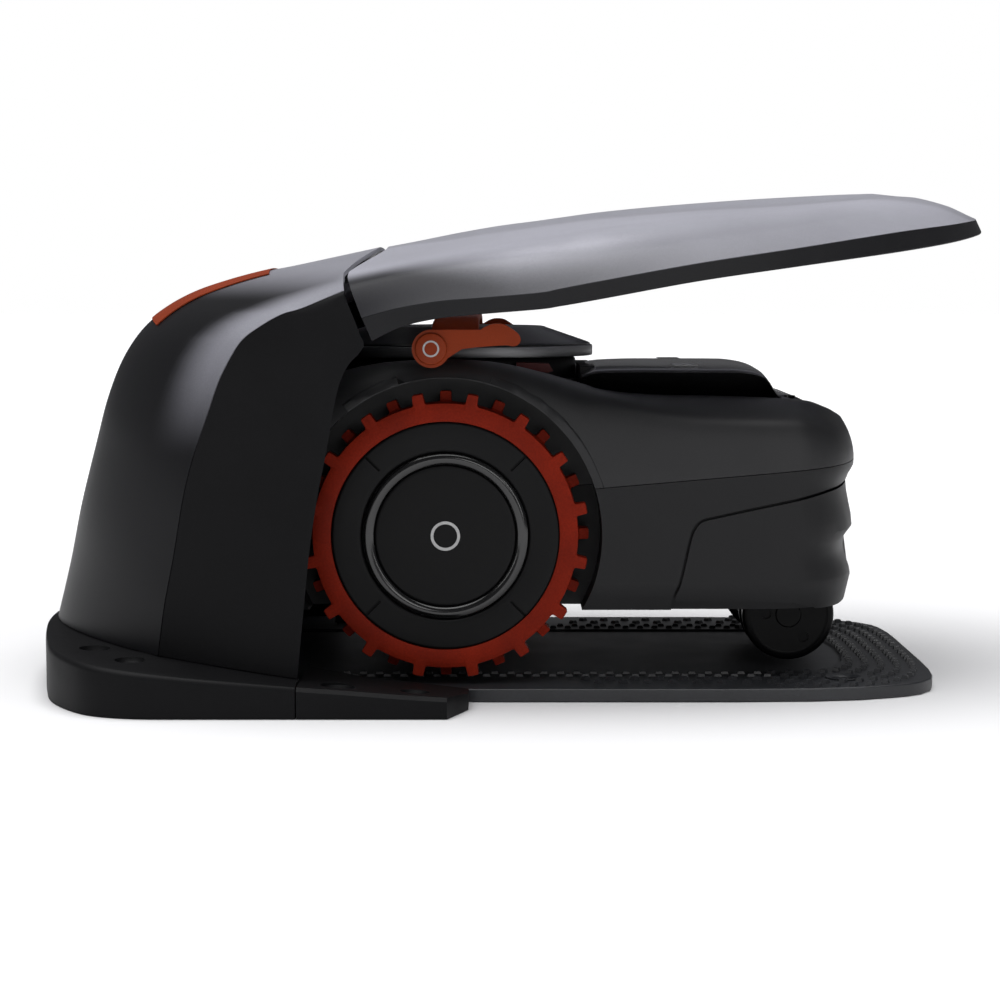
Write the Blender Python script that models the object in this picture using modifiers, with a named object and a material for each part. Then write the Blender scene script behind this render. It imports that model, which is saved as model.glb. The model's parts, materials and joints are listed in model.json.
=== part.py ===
"""A robotic lawn mower parked on its charging base, under its garage with the hinged lid.
Metres, +Z up, +X the mower's forward direction, Y=0 the symmetry plane, the ground at Z=0."""

import bmesh
import bpy
from math import cos, pi, radians, sin
from mathutils import Matrix, Vector

# Driving dimensions. The tables further down are laid out from the turret.
WHEEL, TYRE_Y = (-.0535, .1310), .170           # the drive wheels' axle (x, z), and their middle plane
SWIVEL_X, AXLE, CASTER_Y = .205, (.2330, .0553), .080   # the casters' swivel, axle (x, z) and plane
HINGE = (-.1320, .3400)                         # the lid's hinge (x, z)
PIVOT = (-.0646, .2808)                         # the carry handle's pivot (x, z)
TURRET = (-.0490, 0)                            # the stop turret's axis (x, y)
MOTOR_X = -.050                                 # the cutting disc's axis
HALF = .187                                     # half the mower body's width
CENTRING = -.00425                              # brings the middle of the footprint to X=0

for old in list(bpy.data.objects):
    bpy.data.objects.remove(old, do_unlink=True)
PARTS = bpy.data.collections.new("robot_mower")
CUTTERS = bpy.data.collections.new("cutters")
for group in (PARTS, CUTTERS):
    bpy.context.scene.collection.children.link(group)


# ---------------------------------------------------------------- mesh helpers

def volume(verts, faces):
    total = 0.0
    for face in faces:
        a = Vector(verts[face[0]])
        for i in range(1, len(face) - 1):
            total += a.dot(Vector(verts[face[i]]).cross(Vector(verts[face[i + 1]])))
    return total


def add(name, mesh, cutter=False, place=(0, 0, 0), turn=(0, 0, 0)):
    obj = bpy.data.objects.new(name, mesh)
    obj.location, obj.rotation_euler = place, turn
    (CUTTERS if cutter else PARTS).objects.link(obj)
    if cutter:
        obj.hide_render = True
        obj.display_type = "WIRE"
    return obj


def body(name, verts, faces, cutter=False):
    """One closed mesh, turned to face out, for a shape that the modelling tools don't make."""
    if volume(verts, faces) < 0:
        faces = [tuple(reversed(f)) for f in faces]
    mesh = bpy.data.meshes.new(name)
    mesh.from_pydata([tuple(v) for v in verts], [], faces)
    return add(name, mesh, cutter)


def loft(name, rings, cutter=False):
    """Closed rings joined in order, each end closed by a fan round its middle."""
    n = len(rings[0])
    verts = [Vector(p) for ring in rings for p in ring]
    faces = []
    for k in range(len(rings) - 1):
        for i in range(n):
            j = (i + 1) % n
            faces.append((k * n + i, k * n + j, (k + 1) * n + j, (k + 1) * n + i))
    for first, flip in ((0, True), ((len(rings) - 1) * n, False)):
        middle = len(verts)
        verts.append(sum((verts[first + i] for i in range(n)), Vector()) / n)
        for i in range(n):
            j = (i + 1) % n
            tri = (first + i, first + j, middle)
            faces.append(tuple(reversed(tri)) if flip else tri)
    return body(name, verts, faces, cutter)


def prism(name, outline, low, high, axis="z", cutter=False):
    """A flat outline extruded: (x, y) along z, or (x, z) along y."""
    curve = bpy.data.curves.new(name, "CURVE")
    curve.dimensions, curve.fill_mode, curve.extrude = "2D", "BOTH", (high - low) / 2
    line = curve.splines.new("POLY")
    line.points.add(len(outline) - 1)
    for point, (u, v) in zip(line.points, outline):
        point.co = (u, v, 0, 1)
    line.use_cyclic_u = True
    flat = bpy.data.objects.new(name + "_outline", curve)
    mesh = bpy.data.meshes.new_from_object(flat)
    bpy.data.objects.remove(flat)
    mesh.name = name
    shape = bmesh.new()
    shape.from_mesh(mesh)
    bmesh.ops.remove_doubles(shape, verts=shape.verts, dist=.00001)
    bmesh.ops.recalc_face_normals(shape, faces=shape.faces)
    shape.to_mesh(mesh)
    shape.free()
    middle = (low + high) / 2
    if axis == "z":
        return add(name, mesh, cutter, (0, 0, middle))
    return add(name, mesh, cutter, (0, middle, 0), (radians(90), 0, 0))


def primitive(name, make, cutter, place, turn=(0, 0, 0)):
    mesh = bpy.data.meshes.new(name)
    shape = bmesh.new()
    make(shape)
    shape.to_mesh(mesh)
    shape.free()
    return add(name, mesh, cutter, place, turn)


def box(name, x, y, z, cutter=False):
    size = Matrix.Diagonal((x[1] - x[0], y[1] - y[0], z[1] - z[0], 1))
    return primitive(name, lambda shape: bmesh.ops.create_cube(shape, size=1, matrix=size), cutter,
                     ((x[0] + x[1]) / 2, (y[0] + y[1]) / 2, (z[0] + z[1]) / 2))


def cylinder(name, centre, radius, length, axis="z", steps=32, cutter=False):
    """A cylinder that starts at the centre of one end and runs up z or along y."""
    way = Vector((0, 0, length / 2)) if axis == "z" else Vector((0, length / 2, 0))
    return primitive(name, lambda shape: bmesh.ops.create_cone(
        shape, cap_ends=True, segments=steps, radius1=radius, radius2=radius, depth=length),
        cutter, Vector(centre) + way, (0, 0, 0) if axis == "z" else (radians(-90), 0, 0))


def turned(name, profile, centre, axis="z", steps=32, cutter=False):
    """A closed (radius, height) outline turned about an axis; its side on the axis is left out."""
    pairs = list(zip(profile, profile[1:] + profile[:1]))
    area = sum(a[0] * b[1] - b[0] * a[1] for a, b in pairs)
    points = list(profile) if area < 0 else list(reversed(profile))
    open_at = [i for i, p in enumerate(points) if p[0] == 0 and points[i - 1][0] == 0]
    if open_at:
        points = points[open_at[0]:] + points[:open_at[0]]
    edges = [(i, i + 1) for i in range(len(points) - 1)]
    if not open_at:
        edges.append((len(points) - 1, 0))
    mesh = bpy.data.meshes.new(name)
    mesh.from_pydata([(r, 0, h) for r, h in points], edges, [])
    obj = add(name, mesh, cutter, centre, (0, 0, 0) if axis == "z" else (radians(-90), 0, 0))
    screw = obj.modifiers.new("turned", "SCREW")
    screw.axis, screw.angle = "Z", 2 * pi
    screw.steps = screw.render_steps = steps
    screw.use_merge_vertices, screw.merge_threshold = True, .00001
    return obj


def combine(obj, other, operation):
    modifier = obj.modifiers.new(other.name, "BOOLEAN")
    modifier.operation = operation
    modifier.solver = "EXACT"
    modifier.object = other


def cut(obj, *cutters):
    for other in cutters:
        combine(obj, other, "DIFFERENCE")


def join(obj, *others):
    for other in others:
        combine(obj, other, "UNION")


def spline(points, t):
    """A point of a smooth curve through the points, t from 0 to 1."""
    last = len(points) - 1
    f = min(max(t, 0.0), 1.0) * last
    k = min(int(f), last - 1)
    f -= k
    a, b, c, d = (Vector(points[min(max(k + o, 0), last)]) for o in (-1, 0, 1, 2))
    return ((b * 2) + (c - a) * f + (a * 2 - b * 5 + c * 4 - d) * f * f
            + (b * 3 - a - c * 3 + d) * f ** 3) / 2


def table(rows, x):
    """Straight interpolation in rows of (x, value)."""
    if x <= rows[0][0]:
        return rows[0][1]
    for (x0, v0), (x1, v1) in zip(rows, rows[1:]):
        if x <= x1:
            return v0 + (v1 - v0) * (x - x0) / (x1 - x0)
    return rows[-1][1]


def welded(rows):
    """A grid's points with the coinciding ones made one, and its faces."""
    verts, seen, index = [], {}, []
    for row in rows:
        line = []
        for p in row:
            key = tuple(round(c, 6) for c in p)
            if key not in seen:
                seen[key] = len(verts)
                verts.append(Vector(p))
            line.append(seen[key])
        index.append(line)
    faces = []
    for one, two in zip(index, index[1:]):
        for i in range(len(one) - 1):
            quad = [one[i], one[i + 1], two[i + 1], two[i]]
            face = [v for k, v in enumerate(quad) if v not in quad[:k]]
            if len(face) > 2:
                faces.append(tuple(face))
    return verts, faces


def skin(name, rows, thick, inside=(0, 0, 0.1)):
    """A grid of points as an open surface facing away from the inside point, with a wall behind it."""
    verts, faces = welded(rows)
    out = 0
    for face in faces:
        p = [verts[i] for i in face]
        n = sum(((p[i] - p[0]).cross(p[i + 1] - p[0]) for i in range(1, len(p) - 1)), Vector())
        out += n.dot(p[0] - Vector(inside))
    mesh = bpy.data.meshes.new(name)
    mesh.from_pydata([tuple(v) for v in verts], [],
                     [tuple(reversed(f)) for f in faces] if out < 0 else faces)
    obj = add(name, mesh)
    walls = [thick(v) if callable(thick) else thick for v in verts]
    group = obj.vertex_groups.new(name="wall")
    for i, wall in enumerate(walls):
        group.add([i], wall / max(walls), "REPLACE")
    solidify = obj.modifiers.new("wall", "SOLIDIFY")
    solidify.thickness, solidify.offset = max(walls), -1
    solidify.vertex_group = "wall"
    return obj


# ---------------------------------------------------------------- garage shell

ROOF = [(-.1125, .3643), (-.1493, .3565), (-.1842, .3491), (-.2104, .3439), (-.2400, .3363),
        (-.2717, .3257), (-.2980, .3118), (-.3190, .2945), (-.3365, .2690), (-.3500, .2360),
        (-.3600, .2000), (-.3745, .1450), (-.3850, .0950), (-.3975, .0450)]
CREASE = [(-.1125, .2385, .3350), (-.1400, .2400, .3235), (-.1634, .2410, .3136),
          (-.1788, .2410, .3090), (-.1942, .2410, .3006), (-.2097, .2405, .2891),
          (-.2200, .2400, .2735), (-.2290, .2395, .2550), (-.2380, .2390, .2290),
          (-.2492, .2380, .1965), (-.2573, .2365, .1655), (-.2657, .2340, .1188),
          (-.2738, .2300, .0800), (-.2800, .2250, .0400)]
MOUTH = [(-.1290, .2412, .3215), (-.1255, .2420, .3125), (-.1215, .2428, .3030),
         (-.1180, .2434, .2935), (-.1148, .2440, .2855), (-.1190, .2446, .2780),
         (-.1265, .2455, .2700), (-.1330, .2462, .2570), (-.1380, .2470, .2370),
         (-.1440, .2480, .2030), (-.1510, .2492, .1680), (-.1575, .2508, .1250),
         (-.1625, .2525, .0760), (-.1675, .2535, .0262)]
SEAM = [(0, 0), (.34, 0), (.48, .016), (.64, .037), (.78, .054), (.9, .054), (1, .052)]


def garage_point(t, s):
    """The garage's skin: t runs from the lid's seam over the roof and down the back."""
    middle = spline([(x, 0, z) for x, z in ROOF], t)
    crease = spline(CREASE, t)
    blend = abs(s) ** (2.3 - .5 * t)
    p = middle.lerp(crease, blend)
    return Vector((p.x, s * crease.y, p.z))


def roof_thickness(p):
    """Full in the middle and thin at the two creases, where the side panels tuck under."""
    return table([(.205, .0032), (.221, .0010)], abs(p.y))


def make_garage():
    rows = []
    for k in range(19):
        row = []
        for m in range(-8, 9):
            s = m / 8
            start = table(SEAM, abs(s))
            row.append(garage_point(start + (1 - start) * k / 18, s))
        rows.append(row)
    skin("garage_shell", rows, roof_thickness)
    for side, tag in ((1, "l"), (-1, "r")):
        rows = []
        for k in range(19):
            t = .053 + .947 * k / 18
            crease, front = spline(CREASE, t), spline(MOUTH, k / 18)
            row = []
            for m in range(4):
                tuck = min(.0026 / (front - crease).length, .3)
                p = crease.lerp(front, tuck + (1 - tuck) * m / 3)
                p.y += .0022 * sin(pi * m / 3)
                row.append(Vector((p.x, side * p.y, p.z)))
            row.append(Vector((front.x - .003, side * (front.y - .012), front.z)))
            row.append(Vector((front.x - .004, side * (front.y - .030), front.z)))
            rows.append(row)
        skin("side_panel_" + tag, rows, .0028, (-.3, 0, .1))
    rows = []
    for k in range(8):
        t = .215 + .285 * k / 7
        line = []
        for m in range(-3, 4):
            p = garage_point(t, m * .14)
            out = Vector((p.x + .20, 0, p.z - .12)).normalized()
            line.append(p + out * .0016)
        rows.append(line)
    skin("accent_strip", rows, .0009)


# ---------------------------------------------------------------- ground parts

RIM_OUT = [(.2850, -.1665, .0245), (.2850, -.2400, .0305), (.2845, -.2830, .0350),
           (.2770, -.3130, .0380), (.2614, -.3353, .0400), (.2305, -.3566, .0415),
           (.1990, -.3705, .0425), (.1600, -.3800, .0430), (.1100, -.3900, .0435),
           (.0550, -.3980, .0438), (0, -.4010, .0440)]


def wall_foot(k):
    """The garage wall's lower outer edge: two points of the side panel, then the shell."""
    if k < 3:
        return spline(MOUTH, 1).lerp(spline(CREASE, 1), k / 2)
    return garage_point(1, 1 - (k - 2) / 8)


def make_skirt():
    half = [(Vector((x, y, z)), wall_foot(k)) for k, (y, x, z) in enumerate(RIM_OUT)]
    half[0][1].x = -.1675
    path = [(Vector((o.x, -o.y, o.z)), Vector((w.x, -w.y, w.z))) for o, w in half]
    path += list(reversed(half[:-1]))
    rings = []
    for k, (outer, wall) in enumerate(path):
        before, after = path[max(k - 1, 0)][1], path[min(k + 1, len(path) - 1)][1]
        along = Vector((after.x - before.x, after.y - before.y, 0)).normalized()
        out = Vector((-along.y, along.x, 0))
        if out.dot(Vector((wall.x + .15, wall.y, 0))) < 0:
            out = -out
        top = wall.z - .0008
        near, far = wall + out * .0012, wall - out * .0085
        low = min(outer.z, top)
        inset = outer + (near - outer) * .09
        ring = [(outer.x, outer.y, 0), (outer.x, outer.y, low - .004), (inset.x, inset.y, low),
                (near.x, near.y, top), (far.x, far.y, top), (far.x, far.y, 0)]
        rings.append([(min(x, -.1668), y, z) for x, y, z in ring])
    skirt = loft("skirt", rings)
    for side in (1, -1):
        for x, y in ((-.335, .192), (-.300, .237)):
            where = "skirt_hole_%d_%d" % (side, round(-1000 * x))
            cut(skirt, cylinder(where, (x, side * y, -.01), .0042, .07, cutter=True, steps=10))
            cup = [(0, 0), (.0105, 0), (.0135, .016), (0, .016)]
            cut(skirt, turned(where + "_cup", cup, (x, side * y, .0350), steps=16, cutter=True))


def make_foot(side, tag):
    """The garage's foot beside the wheel, with its two screw holes."""
    sections = [(-.1658, .1640, .2850, .0225, .0243), (-.1233, .1790, .2850, .0170, .0213),
                (-.0905, .1905, .2850, .0150, .0187), (-.0600, .2020, .2850, .0135, .0168),
                (-.0503, .2068, .2850, .0130, .0163), (-.0420, .2095, .2630, .0125, .0145),
                (-.0345, .2110, .2430, .0118, .0125)]
    rings = []
    for x, near, far, low, high in sections:
        rings.append([(x, side * near, .0005), (x, side * near, low - .002),
                      (x, side * (near + .003), low), (x, side * (far - .003), high),
                      (x, side * far, high - .003), (x, side * far, 0)])
    foot = loft("dock_foot_" + tag, rings)
    for x, y in ((-.1355, .2585), (-.0755, .2560)):
        where = "foot_hole_%s_%d" % (tag, round(-1000 * x))
        cut(foot, cylinder(where, (x, side * y, -.01), .0042, .05, cutter=True, steps=10))
        cup = [(0, 0), (.0095, 0), (.0125, .012), (0, .012)]
        cut(foot, turned(where + "_cup", cup, (x, side * y, .0125), steps=16, cutter=True))


MAT = [(.3515, 0), (.3515, .070), (.3508, .105), (.3480, .137), (.3435, .155), (.3330, .172),
       (.3205, .182), (.3040, .190), (.2800, .199), (.2400, .206), (.1800, .209), (-.0300, .209),
       (-.0445, .2055), (-.0600, .1990), (-.0905, .1885), (-.1233, .1768), (-.1665, .1618),
       (-.1700, .2150), (-.2500, .2150), (-.2850, .1950), (-.3050, .1700), (-.3350, .1250),
       (-.3600, .0700), (-.3680, 0)]


def make_base():
    outline = MAT + [(x, -y) for x, y in reversed(MAT[1:-1])]
    base = prism("base_plate", outline, 0, .0115)
    bed = [(-.20, .105), (.225, .105), (.250, .098), (.268, .080), (.279, .052), (.283, .020)]
    bed += [(x, -y) for x, y in reversed(bed)]
    cut(base, prism("bed", bed, .0082, .05, cutter=True))
    for side in (1, -1):
        hole = cylinder("mat_hole_%d" % side, (.272, side * .154, -.01), .0100, .05,
                        cutter=True, steps=20)
        cut(base, hole)
        for k in range(7):
            stud = box("stud_%d_%d" % (side, k), (.140 + .020 * k, .148 + .020 * k),
                       tuple(sorted((side * .188, side * .194))), (.0100, .0155), True)
            join(base, stud)


def make_dock():
    """The charging tower at the back, its circuit board, and the two sprung contacts."""
    tower = box("charging_tower", (-.335, -.285), (-.045, .045), (.0120, .150))
    tower_room = box("tower_room", (-.331, -.289), (-.041, .041), (.0, .146), True)
    cut(tower, tower_room)
    box("charger_board", (-.3120, -.3104), (-.034, .034), (.030, .120))
    head = box("contact_head", (-.2845, -.2540), (-.040, .040), (.094, .136))
    for side, tag in ((1, "l"), (-1, "r")):
        y = sorted((side * .0170, side * .0270))
        z = (.1070, .1230)
        cut(head, box("pocket_" + tag, (-.2810, -.20), (y[0] - .0005, y[1] + .0005),
                      (z[0] - .0005, z[1] + .0005), True))
        pad = [(-.2765, z[0]), (-.2340, z[0]), (-.2282, .1115), (-.2282, .1185),
               (-.2340, z[1]), (-.2765, z[1])]
        prism("contact_pad_" + tag, pad, y[0], y[1], "y")


# ---------------------------------------------------------------- the hinged lid

LID_RIM_LOW = [(-.1087, .2440, .2880), (-.0857, .2450, .2990), (-.0560, .2450, .3057),
               (-.0251, .2445, .3088), (.0211, .2440, .3127), (.0366, .2435, .3150),
               (.0674, .2420, .3204), (.1445, .2330, .3343), (.2247, .2090, .3459),
               (.3073, .1650, .3580), (.3562, .1150, .3663), (.3870, .0600, .3735),
               (.4010, 0, .3780)]
LID_RIM_TOP = [(-.1165, .2440, .3060), (-.0890, .2450, .3135), (-.0560, .2445, .3190),
               (-.0251, .2440, .3215), (.0211, .2430, .3255), (.0366, .2425, .3285),
               (.0674, .2405, .3344), (.1445, .2315, .3483), (.2247, .2070, .3606),
               (.3060, .1620, .3740), (.3540, .1120, .3810), (.3830, .0580, .3860),
               (.3960, 0, .3890)]
LID_SHOULDER = [(-.1262, .2300, .3300), (-.0900, .2270, .3385), (-.0560, .2230, .3440),
                (-.0251, .2185, .3485), (.0211, .2130, .3530), (.0366, .2115, .3545),
                (.0674, .2090, .3570), (.1445, .1970, .3680), (.2200, .1710, .3785),
                (.2900, .1270, .3900), (.3380, .0830, .3960), (.3640, .0420, .3985),
                (.3740, 0, .3990)]
LID_LINE_B = [(-.1290, .1900, .3420), (-.0900, .1900, .3497), (-.0560, .1880, .3555),
              (-.0251, .1850, .3600), (.0211, .1790, .3675), (.0366, .1770, .3695),
              (.0674, .1700, .3757), (.1445, .1480, .3850), (.2150, .1220, .3915),
              (.2750, .0850, .4000), (.3150, .0540, .4050), (.3400, .0270, .4065),
              (.3480, 0, .4063)]
LID_LINE_A = [(-.1066, .0850, .3600), (-.0860, .0800, .3638), (-.0570, .0730, .3678),
              (-.0097, .0620, .3763), (.0211, .0570, .3810), (.0414, .0550, .3840),
              (.0760, .0500, .3885), (.1445, .0440, .3950), (.2100, .0370, .3992),
              (.2600, .0290, .4030), (.2950, .0210, .4065), (.3150, .0110, .4085),
              (.3200, 0, .4098)]
LID_MIDDLE = [(-.1066, 0, .3651), (-.0797, 0, .3702), (-.0447, 0, .3772), (-.0097, 0, .3832),
              (.0211, 0, .3872), (.0424, 0, .3902), (.0774, 0, .3949), (.1294, 0, .4000),
              (.1950, 0, .4050), (.2450, 0, .4080), (.2800, 0, .4098), (.3000, 0, .4105),
              (.3100, 0, .4108)]


def drawn_out(line):
    """The lid's nose reaches a little further forward than the tables' round numbers."""
    return [(x + .0088 * (max(x - .20, 0) / .20) ** 1.4, y, z) for x, y, z in line]


LID_RIM_LOW, LID_RIM_TOP, LID_SHOULDER, LID_LINE_B, LID_LINE_A, LID_MIDDLE = [
    drawn_out(line) for line in
    (LID_RIM_LOW, LID_RIM_TOP, LID_SHOULDER, LID_LINE_B, LID_LINE_A, LID_MIDDLE)]


def lid_row(lines, t, steps):
    """One full row of the lid from its right side to its left, through every line."""
    half = []
    points = [spline(line, t) for line in lines]
    for k, (a, b) in enumerate(zip(points, points[1:])):
        half += [a.lerp(b, i / steps[k]) for i in range(steps[k])]
    half.append(points[-1])
    for p in half:
        if t == 1:
            p.y = 0
    half[-1].y = 0 if lines[-1] is LID_MIDDLE else half[-1].y
    right = [Vector((p.x, -p.y, p.z)) for p in half]
    return right, half


def make_lid():
    lines = [LID_RIM_TOP, LID_SHOULDER, LID_LINE_B, LID_LINE_A, LID_MIDDLE]
    rows = []
    for k in range(19):
        right, left = lid_row(lines, k / 18, [2, 1, 2, 1])
        rows.append(right + list(reversed(left))[1:])
    edge = {tuple(round(c, 5) for c in row[k]) for row in rows for k in (0, -1)}

    def thickness(p):
        return .0007 if tuple(round(c, 5) for c in p) in edge else .0030
    skin("lid_shell", rows, thickness, (.1, 0, .25))
    ends = []
    for k in range(19):
        low, high = spline(LID_RIM_LOW, k / 18), spline(LID_RIM_TOP, k / 18)
        high = low.lerp(high, .92)
        if k == 18:
            low.y = high.y = 0
        ends.append((low, high))
    path = [[Vector((p.x, -p.y, p.z)) for p in pair] for pair in ends]
    path += [list(pair) for pair in reversed(ends[:-1])]
    skin("lid_rim", path, .0036, (.1, 0, .35))


def make_hinges():
    """Two knuckle hinges: the fixed bracket with its pin, and the lid's swan-neck arm."""
    x, z = HINGE
    arm = [(x - .0042, z - .0008), (x - .0030, z + .0030), (x, z + .0042), (x + .0034, z + .0026),
           (-.1255, .3382), (-.1005, .3382), (-.0985, .3420), (-.0985, .3588), (-.0865, .3592),
           (-.0865, .3360), (-.0930, .3310), (-.1180, .3310), (x + .0010, z - .0042),
           (x - .0026, z - .0036)]
    for side, tag in ((1, "l"), (-1, "r")):
        outer = sorted((side * .0550, side * .0810))
        slot = sorted((side * .0605, side * .0755))
        side_view = [(-.1500, .3335), (-.1262, .3335), (-.1262, .3546), (-.1500, .3494)]
        block = prism("hinge_bracket_" + tag, side_view, outer[0], outer[1], "y")
        cut(block, box("hinge_slot_" + tag, (-.1425, -.10), tuple(slot), (.30, .40), True))
        cut(block, cylinder("pin_way_" + tag, (x, -.1, z), .0022, .2, "y", 16, True))
        cylinder("hinge_pin_" + tag, (x, outer[0] - .001, z), .0019, .028, "y", 16)
        inner = sorted((side * .0612, side * .0748))
        leaf = prism("hinge_arm_" + tag, arm, inner[0], inner[1], "y")
        cut(leaf, cylinder("arm_way_" + tag, (x, -.1, z), .0022, .2, "y", 16, True))


make_garage()
make_skirt()
make_foot(1, "l")
make_foot(-1, "r")
make_base()
make_dock()
make_lid()
make_hinges()


# ---------------------------------------------------------------- the mower's body

SHOULDER = [(-.225, .215), (-.20, .225), (-.15, .2415), (-.12, .2545), (-.09, .2625),
            (-.054, .2665), (-.02, .2645), (0, .2605), (.0247, .2535), (.04, .2485),
            (.0567, .2435), (.0728, .2405), (.09, .2375), (.103, .2354), (.135, .2306),
            (.167, .2288), (.2317, .2266), (.25, .2235), (.265, .2200), (.275, .2170),
            (.283, .2135), (.290, .2090)]
RIDGE = [(-.225, .227), (-.20, .240), (-.15, .2580), (-.12, .2660), (-.09, .2700),
         (-.054, .2712), (-.02, .2695), (0, .2665), (.0247, .2607), (.04, .2565),
         (.0567, .2517), (.0728, .2465), (.103, .2430), (.135, .2415), (.167, .2408),
         (.2317, .2385), (.25, .2365), (.265, .2320), (.275, .2285), (.283, .2245),
         (.290, .2190)]
DECK_BED = [(-.225, .224), (-.20, .237), (-.15, .2540), (-.09, .2600), (-.054, .2600),
            (0, .2580), (.0247, .2550), (.04, .2525), (.0567, .2485), (.0728, .2437),
            (.103, .2400), (.135, .2385), (.167, .2380), (.2317, .2355), (.25, .2335),
            (.265, .2290), (.275, .2255), (.283, .2215), (.290, .2160)]
BREADTH = [(-.225, .42), (-.222, .60), (-.215, .78), (-.20, .92), (-.18, .985), (-.15, 1),
           (.20, 1), (.2317, .985), (.25, .945), (.265, .87), (.275, .77), (.283, .62),
           (.288, .46), (.290, .32)]
NOSE = [(.070, -.006), (.0805, -.004), (.0906, -.002), (.1016, -.005), (.1143, -.0085),
        (.1227, -.0078), (.132, -.001), (.1606, -.006), (.169, -.0068), (.1850, 0),
        (.190, 0), (.2092, -.004), (.2259, -.011)]
STATIONS = [-.225, -.222, -.215, -.20, -.18, -.15, -.12, -.09, -.054, -.02, 0, .0247, .0567,
            .0728, .103, .135, .167, .20, .2317, .25, .265, .275, .283, .288, .290]


def body_ring(x, inset, floor):
    """One cross-section of the mower's body, drawn in by the inset."""
    wide = HALF * table(BREADTH, x)
    high, ridge, bed = table(SHOULDER, x), table(RIDGE, x), table(DECK_BED, x)
    side = [(.955, floor), (1, .0906), (1, .1143), (1, .132), (1.003, .169), (1.005, .1870),
            (.992, .192 + .6 * (high - .192) - inset * .4), (.938, high - inset * .7),
            (.775, ridge - inset), (.665, bed - inset)]
    outline = [(max(wide * f - inset, .002), z) for f, z in side]
    ends = (x + .225) / .515
    x += inset * (1 - 2 * ends)
    front = min(max((x - .20) / .08, 0), 1)
    ring = [(x + front * table(NOSE, z), y, z) for y, z in outline]
    return ring + [(p[0], -p[1], p[2]) for p in reversed(ring)]


def body_form(name, inset, floor):
    return loft(name, [body_ring(x, inset, floor) for x in STATIONS], cutter=True)


def arches(name, radius, near):
    """The pair of wheel arches as one cutter each, open to the outside."""
    found = []
    for side, tag in ((1, "l"), (-1, "r")):
        y = near if side > 0 else -.30
        found.append(cylinder("%s_%s" % (name, tag), (WHEEL[0], y, WHEEL[1]), radius, .30 - near,
                              "y", 40, True))
    return found


def seam_z(x):
    return .1690 + .0864 * (x - .068)


BUMPER_LINE = [(.1280, .0500), (.1290, .0780), (.1345, .0950), (.1420, .1280), (.1455, .1375),
               (.1520, .1440), (.1660, .1475), (.1980, .1545), (.2300, .1610), (.2540, .1665),
               (.3300, .1800), (.3300, .0500)]
SMALLER = [(.1302, .0480), (.1312, .0778), (.1367, .0946), (.1441, .1272), (.1473, .1357),
           (.1528, .1419), (.1664, .1453), (.1984, .1523), (.2304, .1588), (.2544, .1643),
           (.3320, .1778), (.3320, .0480)]


def make_body():
    whole = body_form("whole_body", 0, .0700)
    well = arches("liner", .1290, .1385)
    arch = arches("arch", .1258, .1420)
    core = body_form("core", .0058, .0700)
    room = body_form("room", .0075, .0790)
    cut(room, *well)
    region = prism("bumper_region", BUMPER_LINE, -.4, .4, "y", True)
    below = prism("below", [(-.30, -.1), (.40, -.1), (.40, seam_z(.40) - .0003),
                            (-.30, seam_z(-.30) - .0003)], -.4, .4, "y", True)
    above = prism("above", [(-.30, seam_z(-.30) + .0003), (.40, seam_z(.40) + .0003),
                            (.40, .5), (-.30, .5)], -.4, .4, "y", True)
    under = box("under", (-.206, .262), (-.130, .130), (.0, .0742), True)
    shell = body_copy("lower_shell")
    cut(shell, region)
    join(shell, core)
    cut(shell, room, *arch)
    cut(shell, under)
    for side, tag in ((1, "l"), (-1, "r")):
        cut(shell, cylinder("caster_well_" + tag, (.205, side * .080, .0), .0700, .0990,
                            cutter=True, steps=40))
        cut(shell, cylinder("axle_way_" + tag, (WHEEL[0], side * .14 - .02, WHEEL[1]), .0085,
                            .04, "y", 20, True))
        cut(shell, box("plate_way_" + tag, (-.30, -.19), tuple(sorted((side * .0145, side * .0295))),
                       (.1040, .1260), True))
    cut(shell, cylinder("blade_way", (MOTOR_X, 0, .0), .0345, .0990, cutter=True, steps=32))
    combine(shell, below, "INTERSECT")
    hollow = body_form("hollow", .0033, .0400)
    cut(hollow, *well)
    cover = body_copy("upper_cover")
    cut(cover, hollow, *arch)
    combine(cover, above, "INTERSECT")
    open_core = body_form("open_core", .0032, .0400)
    front = prism("bumper_front", SMALLER, -.4, .4, "y", True)
    bumper = body_copy("bumper")
    cut(bumper, open_core)
    combine(bumper, front, "INTERSECT")
    CUTTERS.objects.unlink(whole)


def body_copy(name):
    return loft(name, [body_ring(x, 0, .0700) for x in STATIONS])


def make_deck():
    """The glossy front panel: an overhanging plate that flows down to the nose."""
    rings = []
    for x, top, wide, rise in ((.0580, .2610, .112, .0165), (.0700, .2655, .118, .0165),
                               (.0850, .2668, .123, .0165), (.1100, .2674, .125, .0165),
                               (.1500, .2674, .126, .0160), (.1830, .2672, .125, .0155),
                               (.1980, .2655, .123, .0140), (.2080, .2622, .121, .0120),
                               (.2135, .2565, .119, .0080), (.2165, .2515, .117, .0050),
                               (.2205, .2462, .115, .0032), (.2280, .2420, .111, .0024),
                               (.2360, .2388, .104, .0018)):
        bed = table(DECK_BED, x) + .0012
        edge = max(top - .0062 * (wide / .126) ** 2, bed + .0014)
        foot = max(edge - rise, bed + .0004)
        half = [(.094, bed), (.098, min(bed + .0022, foot)), (wide - .004, foot + (edge - foot) * .55),
                (wide, edge - .0006), (wide - .012, edge + (top - edge) * .22),
                (wide * .55, edge + (top - edge) * .74), (.012, top)]
        ring = [(x, y, max(z, bed + .0001 * i)) for i, (y, z) in enumerate(half)]
        rings.append(ring + [(p[0], -p[1], p[2]) for p in reversed(ring)])
    loft("deck_panel", rings)


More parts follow.
